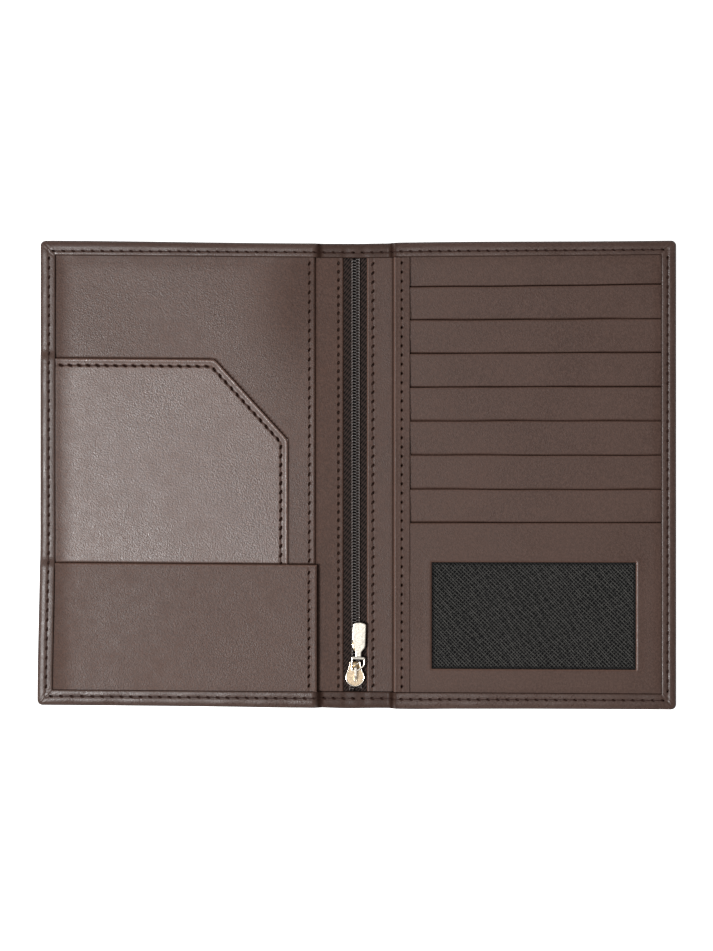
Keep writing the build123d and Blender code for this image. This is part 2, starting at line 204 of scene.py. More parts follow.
def grid_piece(name, xs, ys, top, under, material, body=None, keep=None, warp=None, **stands_for):
    """A closed sheet over a grid. top(x, y) gives height and shade, under(x, y) the underside."""
    x, y = np.meshgrid(xs, ys, indexing="ij")
    if warp:
        x, y = warp(x, y)
    z, dark = top(x, y)
    low = np.minimum(under(x, y) if callable(under) else under, z - LEAST_T)
    points = np.concatenate([
        np.stack([x, y, z], -1).reshape(-1, 3), np.stack([x, y, low], -1).reshape(-1, 3)])
    nx, ny = x.shape
    below = nx * ny
    index = np.arange(below).reshape(nx, ny)
    kept = np.ones((nx - 1, ny - 1), bool)
    if keep:
        kept = keep((x[:-1, :-1] + x[1:, 1:]) / 2, (y[:-1, :-1] + y[1:, 1:]) / 2)
    a, b, c, d = index[:-1, :-1], index[1:, :-1], index[1:, 1:], index[:-1, 1:]
    quads = np.stack([a, b, c, d], -1)[kept]
    faces = [quads, quads[:, ::-1] + below]
    padded = np.pad(kept, 1)
    core = padded[1:-1, 1:-1]
    for gone, p, q in (
        (~padded[1:-1, :-2], a, b), (~padded[2:, 1:-1], b, c),
        (~padded[1:-1, 2:], c, d), (~padded[:-2, 1:-1], d, a),
    ):
        edge = core & gone
        faces.append(np.stack([q[edge], p[edge], p[edge] + below, q[edge] + below], -1))
    shade = np.concatenate([dark.reshape(-1), np.zeros(below)])
    used = np.zeros(len(points), bool)
    every = np.concatenate(faces)
    used[every.ravel()] = True
    renumber = np.cumsum(used) - 1
    return piece(name, points[used], renumber[every].tolist(), material, body, shade[used], **stands_for)


def tube(paths, radius, sides=6):
    """Points and faces of round tubes along several paths, each an array of points, with end caps."""
    points, faces = [], []
    base = 0
    turn = np.linspace(0, 2 * np.pi, sides, endpoint=False)
    for path in paths:
        path = np.asarray(path, float)
        along = np.gradient(path, axis=0)
        along /= np.linalg.norm(along, axis=1)[:, None] + 1e-12
        side = np.cross(along, [0, 0, 1.0])
        weak = np.linalg.norm(side, axis=1) < 0.15
        side[weak] = np.cross(along[weak], [0, 1.0, 0])
        side /= np.linalg.norm(side, axis=1)[:, None]
        up = np.cross(side, along)
        ring = side[:, None] * np.cos(turn)[None, :, None] + up[:, None] * np.sin(turn)[None, :, None]
        points.append((path[:, None] + radius * ring).reshape(-1, 3))
        n = len(path)
        k = np.arange(n - 1)[:, None] * sides
        j = np.arange(sides)[None]
        nxt = (j + 1) % sides
        quads = np.stack([k + j, k + nxt, k + nxt + sides, k + j + sides], -1).reshape(-1, 4) + base
        faces += quads.tolist()
        faces.append([base + i for i in range(sides)][::-1])
        faces.append([base + (n - 1) * sides + i for i in range(sides)])
        base += n * sides
    return np.concatenate(points), faces


def join(parts):
    """Joins (points, faces) pairs into one."""
    points, faces, base = [], [], 0
    for p, f in parts:
        points.append(p)
        faces += [[i + base for i in face] for face in f]
        base += len(p)
    return np.concatenate(points), faces


# ---- seams
class Seam:
    """A straight run of stitches: holes a pitch apart, joined by thread."""

    phase = 0.5

    def __init__(self, start, end, pitch, slant=0.35, hole=(0.58, 0.34), lean=-24.0):
        self.start, self.end = np.array(start, float), np.array(end, float)
        self.length = float(np.linalg.norm(end - self.start))
        self.way = (end - self.start) / self.length
        self.count = int(round(self.length / pitch))
        self.pitch = self.length / self.count
        self.slant, self.hole, self.lean = slant, hole, math.radians(lean)

    def dip(self, x, y, groove=0.07, depth=1.0, line=0.1):
        """Depth of the groove and holes below the leather, and their shade: line is the groove's."""
        rx, ry = x - self.start[0], y - self.start[1]
        u = rx * self.way[0] + ry * self.way[1]
        v = -rx * self.way[1] + ry * self.way[0]
        near = (u > -0.5) & (u < self.length + 0.5)
        place = u / self.pitch - self.phase
        k = np.round(place)
        inside = (k >= 0) & (k <= self.count - 1)
        du = (place - k) * self.pitch
        a = du * math.cos(self.lean) + v * math.sin(self.lean)
        b = v * math.cos(self.lean) - du * math.sin(self.lean)
        r2 = (a / self.hole[0]) ** 2 + (b / self.hole[1]) ** 2
        pit = np.exp(-r2 ** 2) * inside
        rim = bead(np.sqrt(r2), 1.5, 0.45) * inside
        channel = bead(v, 0, 0.4) * near
        return groove * channel + depth * pit - 0.05 * rim, np.clip(1.8 * pit + line * channel, 0, 1)

    def stitches(self, height, sink=0.55):
        """Paths of the thread between one hole and the next."""
        paths = []
        across = np.array([-self.way[1], self.way[0]])
        f = np.linspace(0, 1, 9)
        for k in range(self.count - 1):
            u = (k + self.phase + f) * self.pitch
            sway = self.slant * 0.28 * (1 - 2 * f) + rng.uniform(-0.04, 0.04)
            xy = self.start + u[:, None] * self.way + sway[:, None] * across
            z = height(xy[:, 0], xy[:, 1]) - sink + sink * np.sin(np.pi * f) ** 0.45
            paths.append(np.column_stack([xy, z]))
        return paths


def dips(seams, x, y, **sizes):
    """The deepest of several seams at each point."""
    depth, dark = np.zeros_like(x), np.zeros_like(x)
    for seam in seams:
        d, s = seam.dip(x, y, **sizes)
        depth, dark = np.maximum(depth, d), np.maximum(dark, s)
    return depth, dark


def thread_piece(name, seams, height, nodes, body=None, radius=0.13):
    """The thread of one or more seams as one piece, which stands for its CAD stitches."""
    paths = [p for seam in seams for p in seam.stitches(height)]
    return piece(name, *tube(paths, radius), "thread", body, nodes=nodes)


# ---- materials
MATERIAL = {}


class Shader:
    """A new material, and short calls for building its nodes. sockets are its uniform values."""

    def __init__(self, name, **sockets):
        self.material = MATERIAL[name] = bpy.data.materials.new(name)
        self.material.use_nodes = True
        self.tree = self.material.node_tree
        self.bsdf = self.tree.nodes["Principled BSDF"]
        for socket, value in sockets.items():
            self.bsdf.inputs[socket.replace("_", " ")].default_value = value

    def add(self, kind, out, inputs, **props):
        """A node with its inputs, by name or place, set to a number, a colour or another's output."""
        node = self.tree.nodes.new(kind)
        for key, value in props.items():
            setattr(node, key, value)
        for key, value in inputs.items():
            if isinstance(value, bpy.types.NodeSocket):
                self.tree.links.new(value, node.inputs[key])
            else:
                node.inputs[key].default_value = value
        return node.outputs[out]

    def coords(self):
        return self.add("ShaderNodeTexCoord", "Object", {})

    def dark(self):
        return self.add("ShaderNodeAttribute", "Fac", {}, attribute_name="dark")

    def mapped(self, **inputs):
        return self.add("ShaderNodeMapping", "Vector", {"Vector": self.coords(), **inputs})

    def noise(self, scale, detail=3.0, roughness=0.55, vector=None):
        return self.add("ShaderNodeTexNoise", "Fac", {
            "Scale": scale, "Detail": detail, "Roughness": roughness, "Vector": vector or self.coords()})

    def cells(self, scale):
        return self.add("ShaderNodeTexVoronoi", "Distance", {"Scale": scale, "Vector": self.coords()},
                        feature="SMOOTH_F1")

    def ramp(self, value, low, high, to_low=0.0, to_high=1.0):
        return self.add("ShaderNodeMapRange", "Result", {
            "Value": value, "From Min": low, "From Max": high, "To Min": to_low, "To Max": to_high})

    def math(self, operation, a, b):
        return self.add("ShaderNodeMath", 0, {0: a, 1: b}, operation=operation)

    def mix(self, factor, a, b):
        """A mix of two colours, each a tuple or another node's output."""
        a, b = ((*c, 1) if isinstance(c, tuple) else c for c in (a, b))
        return self.add("ShaderNodeMix", 2, {0: factor, 6: a, 7: b}, data_type="RGBA")

    def tones(self, value, low, high, colour, dim, lit):
        """A colour that goes from dim to lit times itself as the value goes from low to high."""
        return self.mix(self.ramp(value, low, high), scaled(colour, dim), scaled(colour, lit))

    def bump(self, height, strength, distance, under=None):
        inputs = {"Strength": strength, "Distance": distance, "Height": height}
        return self.add("ShaderNodeBump", "Normal", {**inputs, "Normal": under} if under else inputs)

    def dulled(self, roughness, dark, share):
        """A roughness, and a share of dark on top."""
        return self.math("ADD", roughness, self.math("MULTIPLY", dark, share))

    def finish(self, colour, roughness, normal):
        for socket, value in (("Base Color", colour), ("Roughness", roughness), ("Normal", normal)):
            self.tree.links.new(value, self.bsdf.inputs[socket])


def scaled(colour, factor):
    return tuple(c * factor for c in colour)


def leather(name, colour, rough=0.44, level=0.5, grain=1.0):
    """Corrected-grain cowhide: fine pebbles, tiny pores, soft clouds of colour.

    The dark attribute is painted shade: it darkens and dulls it in holes, creases and where less light falls;
    below 0 it is a painted highlight.
    """
    n = Shader(name, Specular_IOR_Level=level)
    pebble, speckle, pores = n.cells(2300), n.noise(2300, 2.0, 0.6), n.noise(5200, 2.0)
    cloud, mottle, patch = n.noise(38), n.noise(1250, 2.5, 0.65), n.noise(260, 3.0, 0.6)
    dark = n.dark()
    tint = n.tones(cloud, 0.3, 0.7, colour, 0.9, 1.1)
    tint = n.mix(n.ramp(mottle, 0.42, 0.64, 0.0, 0.5 * grain), tint, scaled(colour, 1.75))
    tint = n.mix(n.ramp(pebble, 0.25, 0.75, 0.0, 0.3), tint, scaled(colour, 0.45))
    # Painted light: a highlight where dark is below 0, and shade, nearly black, where it is above 0.
    tint = n.mix(n.ramp(dark, -1.0, 0.0, 1.0, 0.0), tint, scaled(colour, 2.6))
    tint = n.mix(n.math("POWER", n.ramp(dark, 0.0, 1.0), 2.0), tint, scaled(colour, 0.03))
    shine = n.ramp(dark, -1.0, 0.75, level * 7 / 3, 0.0)
    n.tree.links.new(shine, n.bsdf.inputs["Specular IOR Level"])
    uneven = n.math("ADD", n.math("ADD", mottle, cloud), patch)
    gloss = n.dulled(n.ramp(uneven, 1.15, 1.85, rough - 0.1, rough + 0.1), dark, 0.3)
    normal = n.bump(speckle, 0.6, 0.00012 * grain)
    normal = n.bump(pebble, 0.5, 0.00007 * grain, normal)
    n.finish(tint, gloss, n.bump(pores, 0.3, 0.00003 * grain, normal))


def thread_material(name, colour):
    """Waxed twisted thread."""
    n = Shader(name, Specular_IOR_Level=0.15)
    twist = n.noise(6500, 2.0)
    n.finish(n.tones(twist, 0.35, 0.65, colour, 0.7, 1.35), n.ramp(twist, 0.3, 0.7, 0.45, 0.65),
             n.bump(twist, 0.6, 0.00006))


def woven(name, colour, pitch, diagonal=False, contrast=0.6, level=0.25):
    """Woven tape or lining: two crossed sets of yarns, or a twill whose ribs run diagonally."""
    n = Shader(name, Specular_IOR_Level=level, Sheen_Weight=0.04)
    vector = n.mapped(Rotation=(0, 0, math.radians(38))) if diagonal else n.coords()
    waves = [
        n.add("ShaderNodeTexWave", "Fac",
              {"Scale": 0.314 / (pitch * MM * stretch), "Distortion": 0.6, "Vector": vector},
              wave_type="BANDS", bands_direction=axis, wave_profile="SIN")
        for axis, stretch in (("X", 1.0), ("Y", 2.3 if diagonal else 1.0))]
    weave = n.math("ADD", waves[0], n.math("MULTIPLY", waves[1], 0.45 if diagonal else 1.0))
    fuzz = n.noise(4000)
    height = n.math("ADD", weave, n.math("MULTIPLY", fuzz, 0.5))
    n.finish(n.tones(height, 0.4, 1.5, colour, 1 - contrast, 1 + contrast),
             n.ramp(fuzz, 0.3, 0.7, 0.67, 0.83), n.bump(height, 0.8, 0.00022))


def filament(name, colour, rough=0.35, level=0.6):
    """Nylon monofilament: its dark attribute paints shade where it dips between its neighbours, and random tone.
    """
    n = Shader(name, Specular_IOR_Level=level)
    streak = n.noise(2500, 2.0)
    tint = n.mix(n.dark(), n.tones(streak, 0.3, 0.7, colour, 0.8, 1.3), scaled(colour, 0.08))
    gloss = n.ramp(streak, 0.3, 0.7, rough - 0.06, rough + 0.08)
    n.finish(tint, n.dulled(gloss, n.dark(), 0.4), n.bump(streak, 0.2, 0.00003))


def plated(name, colour, deep, rough=0.16):
    """Die-cast metal under a bright plate: faint casting ripple, rubbed patches, and a deeper colour that paints
    shade in recesses and a dark reflection.
    """
    n = Shader(name, Metallic=1.0)
    ripple, rub = n.noise(420), n.noise(1500)
    tint = n.mix(n.dark(), n.tones(ripple, 0.35, 0.65, colour, 0.94, 1), deep)
    gloss = n.ramp(rub, 0.3, 0.75, rough - 0.04, rough + 0.1)
    n.finish(tint, n.dulled(gloss, n.dark(), 0.12), n.bump(ripple, 0.1, 0.0002))


def pressed_board(name, colour):
    """Grey-brown bonded board with fibres."""
    n = Shader(name, Specular_IOR_Level=0.2)
    fibre = n.noise(900, 4.0, vector=n.mapped(Scale=(1, 5, 1)))
    n.finish(n.tones(fibre, 0.3, 0.7, colour, 0.75, 1.15), n.ramp(fibre, 0.3, 0.7, 0.8, 0.95),
             n.bump(fibre, 0.4, 0.0001))


# One brown leather throughout: the copies are scaled lighter or darker, with their gloss, to paint how the light
# falls on each panel; the angled pocket's is lightest.
BROWN = (0.060, 0.0325, 0.0243)
leather("cover_leather", scaled(BROWN, 0.92), rough=0.31, level=0.54, grain=0.8)
leather("panel_leather", scaled(BROWN, 1.05), rough=0.40, level=0.39, grain=1.3)
leather("lower_leather", scaled(BROWN, 1.08), rough=0.43, level=0.27, grain=1.3)
leather("placket_leather", BROWN, rough=0.50, level=0.15)
leather("pocket_leather", scaled(BROWN, 1.25), rough=0.38, level=0.68, grain=1.4)
leather("card_leather", BROWN, rough=0.46, level=0.24, grain=0.8)
pressed_board("board", (0.20, 0.17, 0.14))
woven("lining_fabric", (0.030, 0.022, 0.019), 0.35)
filament("mesh_fabric", (0.070, 0.067, 0.062), rough=0.42)
woven("mesh_backing", (0.0035, 0.0035, 0.0035), 0.4, level=0.1)
thread_material("thread", (0.026, 0.0105, 0.0075))
woven("zipper_tape", (0.0205, 0.0132, 0.0112), 0.85, diagonal=True, contrast=0.97, level=0.12)
filament("zipper_coil", (0.1, 0.078, 0.07), rough=0.26, level=1.0)
plated("zipper_stop_metal", (0.55, 0.42, 0.22), (0.30, 0.16, 0.06), rough=0.3)
plated("gold_metal", (0.94, 0.87, 0.76), (0.40, 0.28, 0.15), rough=0.19)
for sub_part in frame["record"]["subparts"]:
    node = frame["nodes"][sub_part["node"]]
    node.data.materials.clear()
    node.data.materials.append(MATERIAL[sub_part["material_slot"]])


# ---- camera, lights and floor
PHOTO_CENTRE = (-0.52, -0.26)
FRAME_HEIGHT = 951 / 2.886
LENS, SENSOR = 100.0, 36.0
FOCUS_Z = 5.0
FLOOR_Z = -0.0004

camera_data = bpy.data.cameras.new("camera")
camera_data.lens = LENS
camera_data.sensor_width = SENSOR
camera = bpy.data.objects.new("camera", camera_data)
camera.location = (PHOTO_CENTRE[0] * MM, PHOTO_CENTRE[1] * MM, (FOCUS_Z + FRAME_HEIGHT * LENS / SENSOR) * MM)
camera_data.clip_end = 10
scene.collection.objects.link(camera)
scene.camera = camera
scene.view_settings.view_transform = "Standard"


def softbox(name, place, aim, size, power):
    """A square area light at place, facing aim, both in metres."""
    data = bpy.data.lights.new(name, "AREA")
    data.shape = "RECTANGLE"
    data.size, data.size_y = size
    data.energy = power
    lamp = bpy.data.objects.new(name, data)
    lamp.location = place
    away = np.array(place) - np.array(aim)
    lamp.rotation_mode = "QUATERNION"
    lamp.rotation_quaternion = Vector(away).to_track_quat("Z", "Y")
    scene.collection.objects.link(lamp)


softbox("key", (-0.80, -0.24, 1.72), (0, 0, 0), (0.40, 0.40), 37.0)
softbox("sheen", (-0.17, 0.03, 1.0), (-0.05, 0, 0), (0.16, 0.30), 0.42)
softbox("over", (0.02, -0.13, 1.05), (0, -0.06, 0), (0.34, 0.26), 0.11)

world = bpy.data.worlds.new("studio")
scene.world = world
world.use_nodes = True
background = world.node_tree.nodes["Background"]
background.inputs["Color"].default_value = (1, 1, 1, 1)
background.inputs["Strength"].default_value = 0.36

floor_mesh = bpy.data.meshes.new("floor")
floor_corners = [(x, y, FLOOR_Z) for x, y in ((-3, -3), (3, -3), (3, 3), (-3, 3))]
floor_mesh.from_pydata(floor_corners, [], [(0, 1, 2, 3)])
floor = bpy.data.objects.new("floor", floor_mesh)
scene.collection.objects.link(floor)
floor_mesh.materials.append(Shader("floor", Base_Color=(0.92, 0.92, 0.92, 1), Roughness=0.9,
                                   Emission_Color=(1, 1, 1, 1), Emission_Strength=0.85).material)


# ---- outer cover and its turned border
def rim_rise(x):
    """0 over the spine and plackets, 1 over the panels on either side."""
    return smoothstep(-11.8, -15.8, x) + smoothstep(10.2, 13.6, x)


def rim_height(x, y):
    """Top of the turned border in millimetres: it steps over each layer that is sewn under it."""
    left = 5.05 + 0.55 * smoothstep(ANGLED[4] + 2.2, ANGLED[4] - 1.8, y)
    left = left + 0.7 * smoothstep(LOWER[4] + 2.2, LOWER[4] - 1.8, y)
    right = np.full_like(x, RIM_TOP - 0.05)
    low = LOW_RIM_TOP - 0.22 * (smoothstep(-6.4, -4.0, x) - smoothstep(2.0, 4.4, x))
    low = low + 0.2 * bead(x, ZIP_X, 2.2)
    ripple = 0.05 * np.sin(x * 0.21 + 1.3) * np.sin(y * 0.17) + 0.04 * np.sin((x - y) * 0.43)
    high = np.where(x < 0, left, right)
    up = rim_rise(x)
    return low + (high - low) * up + ripple * up


FLAT_OUT = 9.0
EASE = 10.0
RING_STEP = 0.28


def border_seams():
    """The border's four seams as runs of holes."""
    x, y = HALF_W - SEAM_INSET, HALF_H - SEAM_INSET
    ends = [((-x, y - 0.65), (0, y - 0.2)), ((x, y - 0.3), (0, y - 0.2)), ((-x, -y), (0, -y)),
            ((x, -y), (0, -y)), ((-x, y - 1.6), (-x, -y + 1.6)), ((x, y - 1.6), (x, -y + 1.6))]
    return [Seam(start, end, BORDER_PITCH, slant=0.25, hole=(0.58, 0.29), lean=-10)
            for start, end in ends]


BORDER_SEAMS = border_seams()


def border_profile():
    """Cross-section of the cover's edge, from the flat of the back round to the inside.

    Each ring is (inset, height, share of the rim's height, seam). Height is added to share * rim. Seam is
    1 where the stitches sink the inside, and -1 where they dent the back.
    """
    rings = [(d, 0.0, 0, 0) for d in (58, 40, 26, 17, 12, FLAT_OUT, 6.5, 4.6)]
    rings += [(d, 0.0, 0, -1) for d in np.arange(4.0, 2.2, -0.2)]
    rings += [(*ring, 0, 0) for ring in (
        (1.7, 0.02), (1.1, 0.09), (0.62, 0.26), (0.28, 0.55), (0.07, 0.95), (0.0, 1.4))]
    rings += [(*ring, 1, 0) for ring in (
        (0.0, -1.6), (0.06, -1.2), (0.2, -0.85), (0.42, -0.56), (0.7, -0.36), (1.0, -0.23), (1.3, -0.15),
        (1.6, -0.1), (1.9, -0.07), (2.15, -0.06))]
    rings += [(d, -0.05 - 0.09 * smoothstep(2.15, 2.9, d) + 0.06 * smoothstep(3.3, 4.0, d), 1, 1)
              for d in np.arange(2.3, 4.55, 0.15)]
    rings += [(*ring, 1, 0) for ring in (
        (4.7, -0.09), (4.9, -0.12), (5.1, -0.22), (5.24, -0.42), (BORDER, -0.6), (5.2, -TURNED_T),
        (4.4, -TURNED_T - 0.05), (1.3, -TURNED_T - 0.05))]
    return rings + [(1.3, HIDE_T, 0, 0), (FLAT_OUT, HIDE_T, 0, 0)]


def run_samples(length, inset):
    """Samples from the middle of a side to its corner, which closes in with the inset."""
    s = np.linspace(0, length, int(length / RING_STEP) + 1)
    reach = max(EASE, 1.3 * inset)
    ease = np.clip((s - (length - reach)) / reach, 0, 1)
    return s - ease * inset


def ring_path(side, inset):
    """One half's edge at an inset: along the top from the spine, down the side, back along the bottom."""
    along = run_samples(HALF_W, inset)
    down = run_samples(HALF_H, inset)
    radius = max(CORNER_R - inset, 0)
    top = np.column_stack([along, np.full_like(along, HALF_H - inset)])
    upper = np.column_stack([np.full_like(down, HALF_W - inset), down])[::-1]
    if radius > 0:
        centre = np.array([HALF_W - inset - radius, HALF_H - inset - radius])
        for part, axis, turn in ((top, 0, 45), (upper, 1, -45)):
            t = np.clip(((HALF_W, HALF_H)[axis] - inset - part[:, axis]) / radius, 0, 1)
            angle = np.radians(45 + turn * t)
            near = t < 1
            part[near] = centre + radius * np.column_stack([np.cos(angle), np.sin(angle)])[near]
    quarter = np.concatenate([top, upper[1:]])
    mirrored = quarter[::-1][1:] * [1, -1]
    path = np.concatenate([quarter, mirrored]) * [side, 1]
    return path, len(along)


def outline_shift(x, y):
    """A hand-cut cover's outline: it swells a little at the lower left and below the spine."""
    low = smoothstep(BORDER - HALF_H, -HALF_H, y)
    high = smoothstep(HALF_H - BORDER, HALF_H, y)
    left = smoothstep(-90, -HALF_W + 1, x)
    right = smoothstep(90, HALF_W - 1, x)
    drop = 0.2 + 0.42 * bead(x, 4, 42) + 0.1 * np.sin(x * 0.24 + 2.6) * bead(x, 0, 24)
    lift = 0.24 - 0.12 * np.sin(x * 0.05)
    dx = -left * (0.2 + 0.95 * smoothstep(-20, -HALF_H, y)) + right * 0.25
    return x + dx, y - low * drop - high * lift


def half_cover(name, side, nodes):
    """Half of the cover: its flat back, and the border that turns over the inside."""
    profile = border_profile()
    points, shades = [], []
    for inset, height, share, seam in profile:
        path, run = ring_path(side, inset)
        x, y = path[:, 0], path[:, 1]
        z = height + share * rim_height(x, y)
        dark = np.zeros_like(x)
        dx, dy = HALF_W - np.abs(x), HALF_H - np.abs(y)
        if seam:
            depth, dark = dips(BORDER_SEAMS, x, y, depth=0.6, line=0.3)
            z = z - seam * depth
        if share:
            across = dx - dy
            corner = bead(across, 0, 1.9) * smoothstep(6.5, 4.5, np.maximum(dx, dy)) * (inset > 0.1)
            pleats = corner * (1 - np.cos((across + 0.3) * 2 * np.pi / 1.7)) / 2
            z = z - 0.11 * pleats - 0.05 * corner
            rise = rim_rise(x)
            # Painted shade: in the corner pleats, over the spine and the border's steps up to the panels, on the
            # right and top borders, and at x = 13.2 where the step would catch the light.
            dark = deepest(dark, 0.12 * pleats, 0.48 * (1 - rise) + 2.0 * rise * (1 - rise),
                           0.27 * smoothstep(70, 100, x), 0.17 * smoothstep(75.5, 76.5, y),
                           0.6 * bead(x, 13.2, 0.8))
            # Painted shade on the left border: over the crest, toning down its highlight, and inside its seam.
            left_border = smoothstep(-104.5, -105.5, x)
            dark = dark + 0.2 * smoothstep(0.6, 1.2, inset) * smoothstep(2.6, 2.2, inset) * left_border
            dark = dark + 0.25 * smoothstep(3.3, 3.7, inset) * left_border
            # Painted shade round the outer edge.
            dark = np.maximum(dark, 0.8 * smoothstep(0.75, 0.1, inset))
        # Painted shade along the border's inner edge, where it meets the panels.
        if share and inset >= 5.2:
            dark = np.maximum(dark, 0.92)
        x, y = outline_shift(x, y)
        points.append(np.column_stack([x, y, z]))
        shades.append(dark)
    count, rows = len(points[0]), len(points)
    k = np.arange(count - 1)
    faces = []
    for r in range(rows - 1):
        a, b = r * count + k, (r + 1) * count + k
        faces += np.stack([a, a + 1, b + 1, b], -1)[:, ::side].tolist()
    for row, flip in ((0, side > 0), (rows - 1, side < 0)):
        base = row * count
        for k in range(run - 2):
            quad = [base + k, base + k + 1, base + count - 2 - k, base + count - 1 - k]
            faces.append(quad[::-1] if flip else quad)
        rest = [base + k for k in range(run - 2, count - run + 2)]
        faces.append(rest[::-1] if flip else rest)
    cap = [r * count for r in range(rows)] + [r * count + count - 1 for r in range(rows - 1, -1, -1)]
    faces.append(cap if side < 0 else cap[::-1])
    bend(piece(name, np.concatenate(points), faces, "cover_leather", dark=np.concatenate(shades),
               nodes=nodes), side)


def bend(obj, side):
    """Bakes a piece's transform into its mesh, the same on either side of the fold."""
    if side < 0:
        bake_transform(obj)
    else:
        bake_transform(obj)


half_cover("cover_left_half", -1, ["cover_left"])
half_cover("cover_right_half", 1, ["cover_right", "cover_spine"])


def border_threads(name, side, nodes):
    """The border's thread on one half, on the inside and showing through on the back."""
    seams = [s for s in BORDER_SEAMS if s.start[0] * side > 0]
    front = [p for s in seams for p in s.stitches(lambda x, y: rim_height(x, y) - 0.17, sink=0.3)]
    for path in front:
        path[:, 0], path[:, 1] = outline_shift(path[:, 0], path[:, 1])
    back = []
    for path in front:
        turned = path.copy()
        turned[:, 2] = 0.42 - 0.24 * np.sin(np.pi * np.linspace(0, 1, len(path))) ** 0.45
        back.append(turned)
    bend(piece(name, *tube(front + back, 0.18), "thread", nodes=nodes), side)


border_threads("border_thread_left", -1, ["border_stitching_left"])
border_threads("border_thread_right", 1, ["border_stitching_right", "border_stitching_spine"])


# ---- zipper plackets
SEAM_END = HALF_H - BORDER - 0.4
UNDER_RIM = HALF_H - 1.5


def placket(word, side, edge_x, seam_x, pitch, hollow):
    """The leather strip beside the zipper: its rolled edge, its seam, and its lap under the panel."""
    lap_x = side * PLACKET_RIGHT[3]
    seam = Seam((seam_x, SEAM_END), (seam_x, -SEAM_END), pitch, slant=-0.3,
                hole=(0.56, 0.35) if side < 0 else (0.66, 0.3), lean=-14 if side < 0 else -36)
    xs = merged(edge_x + side * EDGE_STEPS,
                lines(*sorted((edge_x + side * 0.8, lap_x)), 0.7, dense=[seam_x], reach=0.9))
    ys = lines(-UNDER_RIM, UNDER_RIM, 0.27)
    high = ZIP_EDGE_LEFT[5]

    def top(x, y):
        out = np.abs(x - edge_x)
        wave = 0.03 * np.sin(y * 0.11 + side) + 0.02 * np.sin(y * 0.31)
        z = high - 0.02 - hollow * smoothstep(14.0, 2.0, out) + 0.05 * bead(out, 0.6, 0.35) + wave
        depth, dark = seam.dip(x, y)
        if side < 0:
            dark = np.maximum(dark, crease(-np.where(y < LOWER[4], LOWER[3], SLEEVE[3]) - np.abs(x)))
            return z - depth - edge_round(out), dark
        # Painted shade beside the binding, and a painted highlight along the rolled edge.
        dark = np.maximum(dark, crease(BINDING[0] - np.abs(x))) + 0.5 * painted_highlight(out)
        return z - depth - edge_round(out) - lip(out), dark

    bend(grid_piece(f"placket_{word}", xs, ys, top, PLACKET_LEFT[2] + 0.3,
                    "placket_leather" if side < 0 else "card_leather",
                    slot="panel_leather" if side < 0 else "card_leather",
                    nodes=[f"zip_placket_{word}", f"zip_edge_{word}"]), side)
    return seam


left_seam = placket("left", -1, ZIP_EDGE_LEFT[3], -6.75, PLACKET_LEFT_PITCH, 0.1)
right_seam = placket("right", 1, ZIP_EDGE_RIGHT[0] + 0.15, 5.2, PLACKET_RIGHT_PITCH, 0.22)
for word, side, seam in (("left", -1, left_seam), ("right", 1, right_seam)):
    bend(thread_piece(f"placket_thread_{word}", [seam], lambda x, y: np.full_like(x, ZIP_EDGE_LEFT[5] - 0.3),
                      [f"zip_stitching_{word}"], radius=0.12), side)


# ---- left side: sleeve and slip pockets
def undulation(x, y, seed, height=0.05):
    """Soft waves of a leather panel that lies loose between its seams."""
    a, b, c = 0.07 + 0.013 * seed, 0.05 + 0.009 * seed, 0.9 * seed
    return height * (np.sin(a * x + c) * np.sin(b * y + 2 * c) + 0.5 * np.sin(0.11 * (x + y) + c))


ANGLED_EDGE = ANGLED[3]
ANGLED_TOP = ANGLED[4] - 0.9
CUT_TOP = (-49.7, ANGLED_TOP)
CUT_SIDE = (ANGLED_EDGE, 11.9)
ANGLED_INSET = 2.45
cut_way = np.array([CUT_SIDE[0] - CUT_TOP[0], CUT_SIDE[1] - CUT_TOP[1]])
cut_way = cut_way / np.linalg.norm(cut_way)


def angled_distance(x, y):
    """Distance in from the angled pocket's nearest free edge, with its corners eased."""
    d1 = ANGLED_TOP - y
    d2 = (CUT_TOP[0] - x) * -cut_way[1] + (CUT_TOP[1] - y) * cut_way[0]
    d3 = ANGLED_EDGE - x
    ease = 0.35
    return -ease * np.log(np.exp(-d1 / ease) + np.exp(-d2 / ease) + np.exp(-d3 / ease))


SLEEVE_SEAM_X, LOWER_SEAM_X = SLEEVE[3] - 1.95, SLEEVE[3] - 2.1
SLEEVE_SEAM, LOWER_SEAM = (Seam((x, top), (x, -SEAM_END), SLEEVE_PITCH, slant=0.5, hole=(0.64, 0.28))
                           for x, top in ((SLEEVE_SEAM_X, SEAM_END), (LOWER_SEAM_X, LOWER[4] - 1.2)))
PANEL_OUT = -HALF_W + 1.5


def sleeve_top(x, y):
    """Height of the passport sleeve before its seam and edge."""
    out = SLEEVE[3] - x
    rise = 0.28 * smoothstep(7.5, 4.5, np.minimum(HALF_W + x, HALF_H - np.abs(y)))
    return SLEEVE[5] + rise + undulation(x, y, 1, 0.08) + 0.04 * bead(out, 0.6, 0.35)


def shade_by_border(x):
    """Painted shade on the left side's leather beside the border."""
    return 0.36 * smoothstep(-97.5, -104.5, x)


def sleeve_surface(x, y):
    depth, dark = SLEEVE_SEAM.dip(x, y, line=0.3)
    # Painted shade where the sheen falls off: towards the spine, more in the upper part, and along the top.
    by_spine = 0.42 * smoothstep(-44, -20, x) * (0.3 + 0.7 * smoothstep(22, 60, y))
    dark = deepest(dark, shade_by_border(x) + by_spine, 0.25 * smoothstep(69, 75, y),
                   crease(-angled_distance(x, y)), crease(y - LOWER[4]))
    return sleeve_top(x, y) - depth - edge_round(SLEEVE[3] - x), dark


